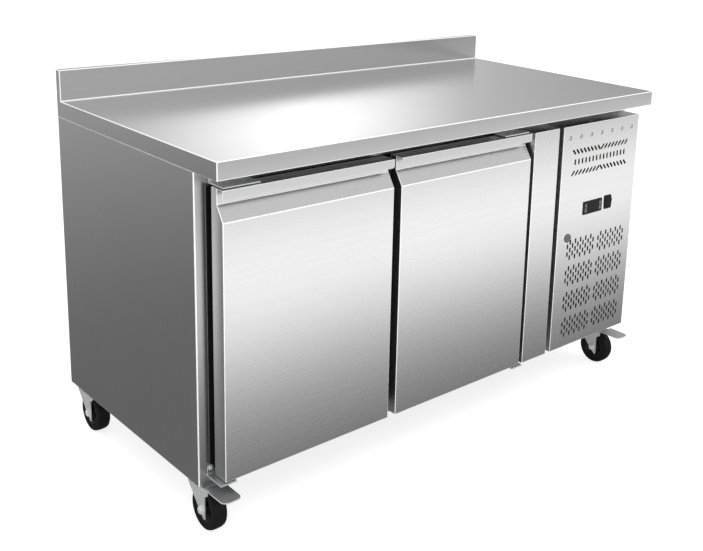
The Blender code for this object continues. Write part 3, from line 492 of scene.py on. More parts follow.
def tube(bm, points, radius, segments=8, closed=False):
    """Round tube along a line of points."""
    points = [Vector(p) for p in points]
    count = len(points)
    rings = []
    side = None
    for i, p in enumerate(points):
        before = points[i - 1] if i or closed else p
        after = points[(i + 1) % count] if i < count - 1 or closed else p
        along = (after - before).normalized()
        if side is None:
            side = along.orthogonal().normalized()
        side = (side - along * side.dot(along)).normalized()
        up = along.cross(side)
        ring_verts = []
        for k in range(segments):
            a = 2 * math.pi * k / segments
            ring_verts.append(bm.verts.new(p + (side * math.cos(a) + up * math.sin(a)) * radius))
        rings.append(ring_verts)
    for lower, upper in zip(rings, rings[1:]):
        bridge(bm, lower, upper)
    if closed:
        bridge(bm, rings[-1], rings[0])
    else:
        bm.faces.new(rings[0])
        bm.faces.new(rings[-1])


def linked(name, bm):
    """Scene object that takes over the mesh in bm."""
    mesh = bpy.data.meshes.new(name)
    bm.to_mesh(mesh)
    bm.free()
    obj = bpy.data.objects.new(name, mesh)
    SCENE.collection.objects.link(obj)
    return obj


def weld(bm):
    """Join doubled corners and clear the edges inside level faces."""
    bmesh.ops.remove_doubles(bm, verts=bm.verts, dist=WELD)
    bmesh.ops.dissolve_limit(bm, angle_limit=LEVEL_ANGLE, verts=bm.verts, edges=bm.edges)


def solid_from(outline, axis, low, high):
    """Plain extruded object used only to shape another one."""
    bm = bmesh.new()
    slab(bm, outline, axis, low, high)
    bmesh.ops.recalc_face_normals(bm, faces=bm.faces)
    return linked("shaping", bm)


def combine(target, tool, operation):
    """Exact Boolean, applied at once; the tool is removed."""
    mod = target.modifiers.new("shape", "BOOLEAN")
    mod.operation = operation
    mod.solver = "EXACT"
    mod.object = tool
    bpy.context.view_layer.update()
    graph = bpy.context.evaluated_depsgraph_get()
    mesh = bpy.data.meshes.new_from_object(target.evaluated_get(graph))
    target.modifiers.clear()
    target.data = mesh
    bpy.data.objects.remove(tool)


def paint_sides(mesh, faced):
    """Give faces square to a row axis their own finish, as {axis number: material}."""
    for axis, mat in faced.items():
        mesh.materials.append(mat)
        number = len(mesh.materials) - 1
        for polygon in mesh.polygons:
            if abs(polygon.normal[axis]) > 0.9 and polygon.material_index == 0:
                polygon.material_index = number


def paint_bends(mesh, mat):
    """Give the rounded front folds of a pan a painted highlight, a bright material of their own."""
    mesh.materials.append(mat)
    number = len(mesh.materials) - 1
    for polygon in mesh.polygons:
        slanted = max(abs(v) for v in polygon.normal) < 0.985
        if slanted and polygon.normal.y < -0.15 and polygon.material_index == 0:
            polygon.material_index = number


def place(name, bm, mat, body, nodes=(), sharp=32.0):
    """Make the mesh a piece that rides on a body and may stand for CAD nodes."""
    bmesh.ops.recalc_face_normals(bm, faces=bm.faces)
    level = flat_layer(bm)
    rounded = [not face[level] for face in bm.faces]
    obj = linked(name, bm)
    mesh = obj.data
    mesh.attributes.remove(mesh.attributes["level"])
    mesh.materials.append(mat)
    mesh.set_sharp_from_angle(angle=math.radians(sharp))
    if not all(rounded):
        mesh.polygons.foreach_set("use_smooth", rounded)
    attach(obj, body)
    if nodes:
        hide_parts(*nodes)
    return obj


def body_of(node):
    return NODES[node]["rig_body"]


def narrowest(edge):
    """Clear distance from the edge's middle across each face beside it."""
    middle = (edge.verts[0].co + edge.verts[1].co) / 2
    reach = []
    for face in edge.link_faces:
        across = []
        for other in face.edges:
            a, b = (v.co for v in other.verts)
            if edge.verts[0] in other.verts or edge.verts[1] in other.verts:
                continue
            share = (middle - a).dot(b - a) / (b - a).length_squared
            across.append((a + (b - a) * max(0.0, min(1.0, share)) - middle).length)
        reach += across or [max((v.co - middle).length for v in face.verts) / 2]
    return min(reach)


LIP_REACH = 0.060       # height under a door's top that holds the pull lip
LIP_CORNER = 0.005


def round_lip(bm, low, high):
    """Round the two lower corners of the pull lip, a thin flange at the front."""
    corners = []
    for edge in bm.edges:
        a, b = (v.co for v in edge.verts)
        length = edge.calc_length()
        across_sheet = length < THIN and abs(a.y - b.y) > 0.9 * length
        at_front = min(a.y, b.y) < low.y + TOUCH
        at_end = min(abs(a.x - low.x), abs(a.x - high.x)) < TOUCH
        at_lip = high.z - LIP_REACH < a.z < high.z - LIP_CORNER
        if across_sheet and at_front and at_end and at_lip:
            corners.append(edge)
    bmesh.ops.bevel(bm, geom=corners, offset=LIP_CORNER, segments=4, affect="EDGES", profile=0.5)


def folded(node, mat, width, name, rim_highlight_mat=FOLD_HIGHLIGHT_STEEL, segments=3, faced=None):
    """The node's own shape, welded, with every fold and rim rounded."""
    bm = bmesh.new()
    source = NODES[node].data
    verts = [bm.verts.new(v.co) for v in source.vertices]
    for poly in source.polygons:
        bm.faces.new([verts[i] for i in poly.vertices])
    weld(bm)
    if node.endswith("_door_skin"):
        round_lip(bm, *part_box(node))
    weight = bm.edges.layers.float.new("bevel_weight_edge")
    for edge in bm.edges:
        if len(edge.link_faces) == 2 and edge.calc_face_angle(0.0) > FOLD_ANGLE:
            edge[weight] = min(1.0, 0.42 * narrowest(edge) / width)
    obj = place(name, bm, mat, body_of(node), [node], 180.0)
    # Rounded rims take the rim material. The default near-white fold steel is a painted highlight along
    # the folds; None keeps the rims in the body's own material.
    obj.data.materials.append(rim_highlight_mat or mat)
    paint_sides(obj.data, faced or {})
    bevel = obj.modifiers.new("rounded folds", "BEVEL")
    bevel.width = width
    bevel.segments = segments
    bevel.limit_method = "WEIGHT"
    bevel.use_clamp_overlap = False
    bevel.harden_normals = True
    bevel.material = 1
    return obj


# -------------------------------------------------------------- cabinet sheets
def make_cabinet():
    folded("worktop", TOP_STEEL, 0.0018, "worktop_sheet", faced={0: END_STEEL})
    for side in ("left", "right"):
        name = side + "_side_sheet"
        folded(side + "_side_panel", STEEL_Z, 0.0024, name)
    folded("back_panel", DULL_STEEL, 0.0005, "back_sheet", None, 2)
    folded("base_pan", DULL_STEEL, 0.0008, "base_sheet", None, 2)
    folded("cabinet_liner", LINER_STEEL, 0.0006, "liner_shell", None, 2)
    folded("front_frame", DULL_STEEL, 0.0005, "front_frame_sheet", None, 1)
    folded("breaker_strip", BLACK, 0.0005, "breaker_face", None, 2)
    folded("unit_tray", DULL_STEEL, 0.0006, "unit_tray_sheet", None, 2)
    for node in ("cabinet_insulation", "left_door_core", "right_door_core"):
        NODES[node].data.materials.clear()
        NODES[node].data.materials.append(FOAM)


# ---------------------------------------------------------- grille and filler
TOP_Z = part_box("worktop")[1].z - 0.073  # worktop's surface, below the upstand
PATTERN_X = 0.5035      # middle of the dimples and louvres
DIMPLES = 7
DIMPLE_PITCH = 0.0432
DIMPLE_R = 0.0056
DIMPLE_Z = TOP_Z - 0.0970
ROW_Z = (TOP_Z - 0.1365, TOP_Z - 0.1643, TOP_Z - 0.1935)
LOUVRES = ((16, 0.0146, 42), (15, 0.0148, 0), (16, 0.0146, -42))    # count, pitch, lean
LOUVRE_W = 0.0056
LEANING_L = 0.0180
UPRIGHT_L = 0.0160
BLOCK_ROWS = 4
BLOCK_X = (0.3925, 0.5220)              # first column of each block
BLOCK_TOP = 0.3765
BLOCK_PITCH = 0.0735
COLUMNS = 11
COLUMN_PITCH = 0.0108
SLOT_L = 0.0146
SLOT_W = 0.0060
SLOT_PITCH = 0.0215
LOCK_R = 0.0085
LOCK_CLEAR = 0.0100     # no slot comes nearer than this to the fastener's middle
PANEL_CORNER = 0.0018
PAN_BEND = 0.0014


def make_front_panels():
    """The fixed panel beside the right door and the grille, both folded pans."""
    for panel, holes in (("filler", []), ("grille", grille_holes())):
        node = panel + "_panel"
        low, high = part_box(node)
        outline = front_outline(low, high, 0.0, PANEL_CORNER, 3)
        bm = bmesh.new()
        pan(bm, outline, holes, low.y, high.y, SHEET, PAN_BEND)
        obj = place(panel + "_front", bm, STEEL_X, "cabinet", [node], 50.0)
        # The hole walls are dark cut-edge steel: painted shade inside the slots.
        if holes:
            obj.data.materials.append(CUT_EDGE_SHADE)
        paint_sides(obj.data, {0: STEEL_Z})
        # The rounded front folds get the near-white fold steel: a painted highlight.
        paint_bends(obj.data, FOLD_HIGHLIGHT_STEEL)
    make_dimples(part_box("grille_panel")[0].y)


def dimple_centres():
    first = PATTERN_X - DIMPLE_PITCH * (DIMPLES - 1) / 2
    return [(first + k * DIMPLE_PITCH, DIMPLE_Z) for k in range(DIMPLES)]


def grille_holes():
    """Outlines of the dimples, louvres, staggered slots, controls and fastener."""
    holes = [arc(x, z, DIMPLE_R, 0, 345, 23) for x, z in dimple_centres()]
    for z, (count, pitch, lean) in zip(ROW_Z, LOUVRES):
        length, width = (LEANING_L, LOUVRE_W) if lean else (UPRIGHT_L, SLOT_W)
        for k in range(count):
            x = PATTERN_X + (k - (count - 1) / 2) * pitch
            tilt = lean if k < count / 2 else -lean
            holes.append(slot_outline(x, z, length, width, tilt))
    for row in range(BLOCK_ROWS):
        top = TOP_Z - BLOCK_TOP - row * BLOCK_PITCH
        for x0 in BLOCK_X:
            for k in range(COLUMNS):
                x = x0 + k * COLUMN_PITCH
                three = k % 2 == 1
                start = top - SLOT_L / 2 - (0.0 if three else SLOT_PITCH / 2)
                for n in range(3 if three else 2):
                    holes.append(slot_outline(x, start - n * SLOT_PITCH, SLOT_L, SLOT_W, 0.0, 3))
    for node, inset in (("thermostat_body", 0.0045), ("power_switch_body", 0.0050)):
        a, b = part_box(node)
        holes.append(front_outline(a, b, -inset, 0.0005, 2))
    a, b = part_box("panel_lock")
    cx = (a.x + b.x) / 2
    cz = b.z - (b.x - a.x) / 2
    kept = []
    for hole in holes:
        if min(math.hypot(x - cx, z - cz) for x, z in hole) > LOCK_CLEAR:
            kept.append(hole)
    return kept + [arc(cx, cz, LOCK_R, 0, 345, 23)]


def make_dimples(face):
    """Round pressings that close the row of holes under the top fold."""
    bm = bmesh.new()
    depth, wall, start = 0.0052, 0.0008, 0.0004
    radius = DIMPLE_R - 0.0001
    inside, outside = [], []
    for a in (20, 40, 60, 78):
        c, s = math.cos(math.radians(a)), math.sin(math.radians(a))
        inside.append((radius * c, start + depth * s))
        outside.append(((DIMPLE_R + wall) * c, SHEET + depth * s))
    profile = [(0, start + depth), (0, start + depth + wall)] + outside[::-1]
    profile += [(DIMPLE_R + wall, SHEET), (radius, SHEET), (radius, start)] + inside
    for x, z in dimple_centres():
        turned(bm, profile, (x, face, z), "y", 24, closed=False)
    bmesh.ops.remove_doubles(bm, verts=bm.verts, dist=WELD)
    place("grille_dimples", bm, STEEL_X, "cabinet")


# ------------------------------------------------------------------------ doors
EAR_R = 0.0075          # round ear of the lower hinge
EAR_INSET = 0.0095      # its centre from the arm's outer end
EAR_DEPTH = 0.0045      # its face from the arm's rear edge
HINGE_RIM = 0.0008
DOOR_FOLD = 0.0013
GASKET_W = 0.018


def make_gasket(node):
    """Bellows gasket swept round the door's back with mitred corners."""
    low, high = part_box(node)
    depth = high.y - low.y
    section = [
        (0.0000, 0.00), (0.0170, 0.00), (0.0175, 0.10), (0.0150, 0.22), (0.0120, 0.30),
        (0.0165, 0.40), (0.0120, 0.50), (0.0165, 0.60), (0.0180, 0.72), (0.0180, 0.95),
        (0.0165, 1.00), (0.0015, 1.00), (0.0000, 0.93), (0.0000, 0.72), (0.0014, 0.60),
        (0.0044, 0.50), (0.0014, 0.40), (0.0044, 0.30), (0.0010, 0.20), (0.0000, 0.10),
    ]
    bm = bmesh.new()
    outline = wound(front_outline(low, high, 0.0, 0.0025, 3), True)
    rings = []
    for inward, share in section:
        rings.append(ring(bm, offset(outline, min(inward, GASKET_W)), "y", low.y + depth * share))
    for first, second in zip(rings, rings[1:] + rings[:1]):
        bridge(bm, first, second)
    place(node + "_bellows", bm, GASKET, body_of(node), [node], 40.0)


def make_ear_screw(side):
    """Low domed screw with a round recess that fixes the lower hinge's ear."""
    low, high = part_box(side + "_lower_hinge")
    x = low.x + EAR_INSET if side == "left" else high.x - EAR_INSET
    centre = (x, high.y - EAR_DEPTH, high.z - EAR_R)
    bm = bmesh.new()
    profile = [
        (0, -0.0006), (0.0016, -0.0006), (0.0018, -0.0012), (0.0021, -0.0015), (0.0032, -0.0014),
        (0.0042, -0.0010), (0.0046, -0.0004), (0.0046, 0.0004), (0, 0.0004),
    ]
    turned(bm, profile, centre, "y", 24, closed=False)
    place(side + "_hinge_screw", bm, BRIGHT_ZINC_AND_RIM_HIGHLIGHT, "cabinet")


def make_doors():
    for side in ("left", "right"):
        shell, lining = side + "_door_shell", side + "_door_lining"
        folded(side + "_door_skin", STEEL_X, DOOR_FOLD, shell, faced={0: STEEL_Z})
        folded(side + "_door_inner", LINER_STEEL, 0.0020, lining, None)
        make_gasket(side + "_door_gasket")
        plate_name, arm = side + "_upper_hinge_plate", side + "_lower_hinge_arm"
        # The upper hinge plate is lightened zinc: a painted highlight.
        folded(side + "_upper_hinge", HINGE_ZINC_HIGHLIGHT, HINGE_RIM, plate_name, None)
        # The arm's rims are bright zinc: a painted highlight along its edges.
        folded(side + "_lower_hinge", ARM_ZINC, HINGE_RIM, arm, BRIGHT_ZINC_AND_RIM_HIGHLIGHT)
        make_ear_screw(side)


# --------------------------------------------------------------------- controls
CASE_FACE = 0.0017      # thickness of the thermostat's face
SWITCH_FACE = 0.0022
RIM = 0.0002            # rounding where a face meets its openings
KEY_GAP = 0.0003
GLASS_FIT = 0.0001
MARK_RISE = 0.0001


def face_levels(front, bend, back):
    """Levels of a moulded face: rounded outside, a fine rim at its openings."""
    levels = [(h, i, RIM if h == front else 0.0) for h, i in round_over(front, bend)]
    return levels + [(back, 0.0, 0.0)]


def make_thermostat():
    low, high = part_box("thermostat_body")
    face, back = low.y, low.y + CASE_FACE
    keys = [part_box("thermostat_key_" + side) for side in ("left", "right")]
    wells = [front_outline(a, b, KEY_GAP, 0.0016, 3) for a, b in keys]
    left, right = keys[0][1].x + 0.0022, keys[1][0].x - 0.0022
    foot, head = keys[0][0].z + RIM, keys[0][1].z - RIM
    window = rectangle(left, right, foot, head, 0.0014, 3)
    bm = bmesh.new()
    outline = front_outline(low, high, 0.0, 0.0030, 5)
    plate(bm, outline, wells + [window], "y", face_levels(face, 0.0009, back))
    inset = 0.0048
    near = (low.x + inset, back + 0.0004, low.z + inset)
    block(bm, near, (high.x - inset, high.y, high.z - inset), 0.0006)
    place("thermostat_case", bm, BLACK, "cabinet", ["thermostat_body"])
    bm = bmesh.new()
    pane = (left + GLASS_FIT, right - GLASS_FIT, foot + GLASS_FIT, head - GLASS_FIT)
    slab(bm, rectangle(*pane, 0.0013, 3), "y", face + 0.0004, back + 0.0003, GLASS_FIT)
    place("thermostat_window", bm, WINDOW, "cabinet")
    for (a, b), side in zip(keys, ("left", "right")):
        make_key("thermostat_key_" + side, a, b, back)


def make_key(node, a, b, back):
    """Key cap with an upper and a lower arrow, ending clear of the case."""
    bm = bmesh.new()
    levels = [(h, i, 0) for h, i in round_over(a.y, 0.0006)] + [(back - 0.0009, 0.0, 0.0)]
    plate(bm, front_outline(a, b, 0.0, 0.0015, 4), [], "y", levels)
    place(node + "_cap", bm, KEY, body_of(node), [node])
    bm = bmesh.new()
    cx = (a.x + b.x) / 2
    for up in (1, -1):
        cz = (a.z + b.z) / 2 + up * 0.0072
        foot = cz - up * 0.0010
        arrow = [(cx - 0.0018, foot), (cx + 0.0018, foot), (cx, cz + up * 0.0016)]
        slab(bm, arrow, "y", a.y - MARK_RISE, a.y + 0.0003)
    place(node + "_marks", bm, MARK, body_of(node))


def make_switch():
    low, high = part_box("power_switch_body")
    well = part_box("power_rocker")
    bm = bmesh.new()
    face = low.y
    shape = [
        (low.x, high.z), (low.x + 0.0008, low.z + 0.0004), (high.x - 0.0028, low.z),
        (high.x, high.z - 0.0135), (high.x - 0.0052, high.z),
    ]
    outline = fillet(shape[::-1], 0.0024, 4)
    side, end = 0.0005, 0.0055
    foot, head = low.z + end, high.z - end
    hole = rectangle(well[0].x - side, well[1].x + side, foot, head, 0.0006, 2)
    plate(bm, outline, [hole], "y", face_levels(face, 0.0010, face + SWITCH_FACE))
    inset = 0.0052
    block(bm, (low.x + inset, face + 0.013, foot), (high.x - inset, high.y, head), 0.0005)
    place("power_switch_bezel", bm, BLACK, "cabinet", ["power_switch_body"])
    folded("power_rocker", BLACK, 0.0006, "power_rocker_cap", None)
    folded("panel_lock", GREY_PLASTIC, 0.0004, "panel_fastener", None, 2)


# ---------------------------------------------------------------------- shelves
WIRES = 13


def make_shelf(node):
    """Welded wire shelf: rim, cross bars below and fine wires on top."""
    low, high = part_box(node)
    r, fine = 0.0028, 0.0016
    zc = low.z + r
    bm = bmesh.new()
    corners = rectangle(low.x + r, high.x - r, low.y + r, high.y - r, 0.014, 5)
    tube(bm, [(x, y, zc) for x, y in corners], r, 10, closed=True)
    for share in (0.25, 0.5, 0.75):
        y = low.y + (high.y - low.y) * share
        tube(bm, [(low.x + r, y, zc - 0.0003), (high.x - r, y, zc - 0.0003)], r * 0.85, 8)
    for k in range(WIRES):
        x = low.x + 0.018 + (high.x - low.x - 0.036) * k / (WIRES - 1)
        tube(bm, [(x, low.y + 0.002, high.z - fine), (x, high.y - 0.002, high.z - fine)], fine, 8)
    place(node + "_wires", bm, WIRE, body_of(node), [node], 60.0)


def make_shelves():
    for side in ("left", "right"):
        make_shelf(side + "_shelf")
        for end in ("a", "b"):
            node = f"{side}_shelf_runner_{end}"
            folded(node, LINER_STEEL, 0.0005, node + "_angle", None, 2)


# --------------------------------------------------------------- cooling system
def make_coil(node, fins, rows, across, name, finish):
    """Thin fins on copper tubes with return bends at both ends."""
    low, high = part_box(node)
    long_axis = 1 - across
    bend = 0.010
    bm = bmesh.new()
    start, stop = low[long_axis] + bend + 0.003, high[long_axis] - bend - 0.003
    sheets = [(start + (stop - start) * k / (fins - 1), 0.00015, 0.001, 0.0) for k in range(fins)]
    sheets += [(start - 0.003, 0.0006, 0.0, 0.0003), (stop + 0.003, 0.0006, 0.0, 0.0003)]
    for middle, half, inset, edge in sheets:
        a, b = list(low), list(high)
        a[long_axis], b[long_axis] = middle - half, middle + half
        a[across] += inset
        b[across] -= inset
        block(bm, a, b, edge)
    place(name + "_fins", bm, finish, body_of(node), [node], 30.0)
    bm = bmesh.new()
    r = 0.0042
    pitch = (high.z - low.z - 0.02) / rows
    for share in (0.3, 0.7):
        c = low[across] + (high[across] - low[across]) * share
        for k in range(rows):
            z = low.z + 0.010 + pitch * (k + 0.5)
            p, q = [0, 0, z], [0, 0, z]
            p[across] = q[across] = c
            p[long_axis], q[long_axis] = start - 0.004, stop + 0.004
            tube(bm, [p, q], r, 8)
        for k in range(rows - 1):
            end, sign = (start - 0.0035, -1) if k % 2 else (stop + 0.0035, 1)
            z = low.z + 0.010 + pitch * (k + 1)
            path = []
            for a in range(-90, 91, 30):
                p = [0, 0, z + pitch / 2 * math.sin(math.radians(a))]
                p[across] = c
                p[long_axis] = end + sign * (bend - r) * math.cos(math.radians(a))
                path.append(p)
            tube(bm, path, r, 8)
    place(name + "_tubes", bm, COPPER, body_of(node), (), 60.0)


def make_fan(node, axis, blades, name):
    """Pressed hub and swept blades with a twist towards the tip."""
    low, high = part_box(node)
    centre = (low + high) / 2
    spin = "xy".index(axis)
    half = (high[spin] - low[spin]) / 2
    tip = min((high.z - low.z), (high[1 - spin] - low[1 - spin])) / 2 - 0.001
    hub = tip * 0.27
    bm = bmesh.new()
    h = min(half, 0.012)
    profile = [(0, -h), (hub - 0.002, -h), (hub, -h + 0.002), (hub, h - 0.002), (hub - 0.002, h), (0, h)]
    turned(bm, profile, (0, 0, 0), "z", 32)
    t = 0.0007
    for n in range(blades):
        grid = []
        for i in range(7):
            r = hub * 0.9 + (tip - hub * 0.9) * i / 6
            sweep = 0.30 * i / 6
            span = math.radians(54 - 10 * (1 - i / 6))
            lift = min(half - 0.001, 0.30 * r) * (0.9 - 0.25 * i / 6)
            line = []
            for j in range(7):
                s = j / 6 - 0.5
                a = 2 * math.pi * n / blades + sweep + span * s
                crown = 0.003 * (1 - (2 * s) ** 2)
                line.append((r * math.cos(a), r * math.sin(a), 2 * s * lift * 0.8 + crown))
            grid.append(line)
        shells = []
        for shift in (-t, t):
            shells.append([[bm.verts.new((x, y, z + shift)) for x, y, z in line] for line in grid])
        for i in range(6):
            for j in range(6):
                for s in shells:
                    bm.faces.new((s[i][j], s[i + 1][j], s[i + 1][j + 1], s[i][j + 1]))
        rim = [(i, 0) for i in range(7)] + [(6, j) for j in range(1, 7)]
        rim += [(i, 6) for i in range(5, -1, -1)] + [(0, j) for j in range(5, 0, -1)]
        for (i, j), (k, m) in zip(rim, rim[1:] + rim[:1]):
            bm.faces.new((shells[0][i][j], shells[0][k][m], shells[1][k][m], shells[1][i][j]))
    bmesh.ops.transform(bm, matrix=Matrix.Translation(centre) @ TURN[axis], verts=bm.verts)
    place(name, bm, PAINT, body_of(node), [node], 40.0)


SHELL_R = 0.078         # compressor's seam flange


def make_compressor():
    low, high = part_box("compressor")
    cx, cy = (low.x + high.x) / 2, (low.y + high.y) / 2
    z0 = low.z
    bm = bmesh.new()
    shell = [
        (0, 0.015), (0.048, 0.015), (0.066, 0.026), (0.0745, 0.045), (0.0750, 0.094),
        (SHELL_R, 0.0955), (SHELL_R, 0.1035), (0.0750, 0.105),
    ]
    profile = [(r, z0 + h) for r, h in shell]
    rise = high.z - z0 - 0.125
    for k in range(9):
        a = math.radians(k * 10.5)
        profile.append((0.0748 * math.cos(a), z0 + 0.125 + rise * math.sin(a)))
    profile.append((0, high.z))
    turned(bm, profile, (cx, cy, 0), "z", 56)
    outline = rectangle(cx - 0.095, cx + 0.095, cy - 0.060, cy + 0.060, 0.012, 5)
    slab(bm, outline, "z", z0 + 0.012, z0 + 0.0155, 0.0006)
    block(bm, (cx - 0.030, cy - 0.0790, z0 + 0.050), (cx + 0.030, cy - 0.060, z0 + 0.092), 0.003)
    place("compressor_shell", bm, PAINT, "cabinet", ["compressor"])
    bm = bmesh.new()
    foot = [
        (0, 0), (0.010, 0), (0.010, 0.004), (0.0078, 0.006), (0.010, 0.008), (0.010, 0.012),
        (0.005, 0.0185), (0, 0.0185),
    ]
    foot = [(r, z0 + h) for r, h in foot]
    for sx in (-1, 1):
        for sy in (-1, 1):
            turned(bm, foot, (cx + sx * 0.083, cy + sy * 0.048, 0), "z", 20)
    place("compressor_feet", bm, GASKET, "cabinet")
    bm = bmesh.new()
    top = z0 + 0.120
    for dx, lift in ((-0.050, 0.030), (0.046, 0.055)):
        high_z = top + lift
        path = [
            (cx + dx, cy - 0.050, top - 0.03), (cx + dx * 1.2, cy - 0.070, top + 0.01),
            (cx + dx * 1.3, cy - 0.085, high_z), (cx + dx * 1.3, cy - 0.120, high_z + 0.012),
            (cx + dx * 1.35, cy - 0.190, high_z + 0.015), (cx + dx * 1.4, cy - 0.215, high_z - 0.010),
        ]
        tube(bm, smooth_path(path, 6), 0.0036, 10)
    place("compressor_pipes", bm, COPPER, "cabinet", (), 60.0)


def smooth_path(points, steps):
    """Catmull-Rom curve through the points."""
    pts = [Vector(p) for p in points]
    pts = [pts[0] * 2 - pts[1]] + pts + [pts[-1] * 2 - pts[-2]]
    out = []
    for a, b, c, d in zip(pts, pts[1:], pts[2:], pts[3:]):
        for k in range(steps):
            t = k / steps
            bend, twist = 2 * a - 5 * b + 4 * c - d, 3 * b - a - 3 * c + d
            out.append(0.5 * (2 * b + (c - a) * t + bend * t * t + twist * t ** 3))
    return out + [pts[-2]]


def make_cooling():
    make_coil("condenser_coil", 64, 9, 1, "condenser", PAINT)
    make_coil("evaporator_coil", 72, 8, 0, "evaporator", FIN)
    make_fan("condenser_fan_blade", "y", 5, "condenser_fan")
    make_fan("evaporator_fan_blade", "x", 5, "evaporator_fan")
    make_compressor()
    folded("fan_shroud", PAINT, 0.0010, "fan_shroud_pressing", None, 2)
    folded("condenser_fan_motor", PAINT, 0.0012, "condenser_motor", None, 2)
    folded("evaporator_fan_motor", PAINT, 0.0012, "evaporator_motor", None, 2)
    folded("evaporator_cover", WHITE, 0.0008, "evaporator_cover_moulding", None, 2)
    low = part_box("evaporator_cover")[0]
    a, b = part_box("evaporator_fan_blade")
    c = (a + b) / 2
    bm = bmesh.new()
    x = low.x - 0.0015
    for r in (0.014 * (k + 1) for k in range(6)):
        loop = arc(c.y, c.z, r, 0, 354, 59)
        tube(bm, [(x, y, z) for y, z in loop], 0.0011, 6, closed=True)
    for k in range(6):
        t = math.radians(60 * k + 30)
        start = (x + 0.0012, c.y + 0.010 * math.cos(t), c.z + 0.010 * math.sin(t))
        stop = (x + 0.0012, c.y + 0.087 * math.cos(t), c.z + 0.087 * math.sin(t))
        tube(bm, [start, stop], 0.0013, 6)
    place("evaporator_fan_guard", bm, WIRE, "cabinet", (), 60.0)


# ---------------------------------------------------------------------- castors
CROWN = 0.1012          # top of the fork's channel
LEG_IN = 0.0175         # inner face of a leg from the wheel's middle
LEG_T = 0.0025
AXLE_R = 0.0050
WASHER_T = 0.0008
SPOKES = 5


def hexagon(cx, cy, radius):
    return arc(cx, cy, radius, 0, 300, 5)


def mirrored(right):
    """Closed wheel section from its right half."""
    return right + [(r, -h) for r, h in reversed(right[1:-1])]


def make_wheel(corner):
    wheel = corner + "_castor_wheel"
    low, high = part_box(wheel)
    centre = (low + high) / 2
    radius = (high.z - low.z) / 2
    half = (high.x - low.x) / 2
    hub = mirrored([
        (0.0056, 0.0), (0.0056, half), (0.0100, half), (0.0108, half - 0.0010), (0.0112, 0.0085),
        (0.0125, 0.0072), (0.0235, 0.0072), (0.0252, 0.0085), (0.0275, 0.0128), (0.0290, 0.0138),
        (0.0312, 0.0138), (0.0320, 0.0128), (0.0320, 0.0),
    ])
    bm = bmesh.new()
    turned(bm, hub, centre, "x", 56)
    for sign in (-1, 1):
        for k in range(SPOKES):
            a = 2 * math.pi * k / SPOKES
            y, z = math.cos(a), math.sin(a)
            spoke = []
            for r, w in ((0.0105, 0.0016), (0.0270, 0.0011)):
                spoke.append((centre.y + y * r - z * w, centre.z + z * r + y * w))
                spoke.append((centre.y + y * r + z * w, centre.z + z * r - y * w))
            outline = [spoke[0], spoke[1], spoke[3], spoke[2]]
            slab(bm, outline, "x", centre.x + sign * 0.0066, centre.x + sign * 0.0122, 0.0004)
    place(corner + "_wheel_hub", bm, HUB, body_of(wheel), (), 30.0)
    edge = half - 0.0004
    tyre = mirrored([
        (0.0322, 0.0), (0.0322, 0.0126), (0.0334, 0.0140), (0.0350, 0.0146), (0.0420, edge),
        (0.0440, edge - 0.0002), (0.0458, edge - 0.0014), (radius - 0.0010, edge - 0.0042),
        (radius - 0.0003, edge - 0.0072), (radius, 0.0045), (radius, 0.0),
    ])
    bm = bmesh.new()
    turned(bm, tyre, centre, "x", 72)
    place(corner + "_wheel_tyre", bm, TYRE, body_of(wheel), [wheel], 30.0)
    return centre


def make_fork(corner, px, centre):
    """Pressed fork: a folded channel trimmed to its side shape, with a mouth in front."""
    fork = corner + "_castor_fork"
    low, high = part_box(fork)
    out = LEG_IN + LEG_T
    wy, wz = centre.y, centre.z
    front, tab, rear = wy - 0.013, wy - 0.024, wy + 0.056
    foot = low.z - 0.01
    outer = [(-out, low.z), (out, low.z), (out, CROWN), (-out, CROWN)]
    inner = [(-LEG_IN, foot), (LEG_IN, foot), (LEG_IN, CROWN - LEG_T), (-LEG_IN, CROWN - LEG_T)]
    section_out = fillet(outer, [0, 0, 0.0040, 0.0040], 5)
    section_in = fillet(inner, [0, 0, 0.0018, 0.0018], 5)
    side = [
        (tab, CROWN + 0.01), (tab, CROWN - 0.012), (front, CROWN - 0.0185), (front, wz - 0.019),
        (wy - 0.009, wz - 0.0180), (wy + 0.009, wz - 0.002), (rear - 0.004, CROWN - 0.009),
        (rear, CROWN + 0.01),
    ]
    side = fillet(side, [0, 0.003, 0.003, 0.0025, 0.003, 0.006, 0.006, 0], 4)
    gap = LEG_IN - TOUCH
    opening = rectangle(px - gap, px + gap, tab - 0.01, wy - 0.0135)
    sheet = solid_from([(px + x, z) for x, z in section_out], "y", low.y - 0.01, high.y + 0.01)
    hollow = solid_from([(px + x, z) for x, z in section_in], "y", low.y - 0.02, high.y + 0.02)
    cheek = solid_from(side, "x", px - out - 0.01, px + out + 0.01)
    mouth = solid_from(opening, "z", CROWN - 0.02, CROWN + 0.02)
    combine(sheet, hollow, "DIFFERENCE")
    combine(sheet, cheek, "INTERSECT")
    combine(sheet, mouth, "DIFFERENCE")
    bm = bmesh.new()
    bm.from_mesh(sheet.data)
    bpy.data.objects.remove(sheet)
    weld(bm)
    obj = place(corner + "_fork_pressing", bm, FORK_ZINC, body_of(fork), [fork], 180.0)
    bevel = obj.modifiers.new("pressed rims", "BEVEL")
    bevel.width = 0.0006
    bevel.segments = 2
    bevel.limit_method = "ANGLE"
    bevel.angle_limit = math.radians(40)
    bevel.harden_normals = True


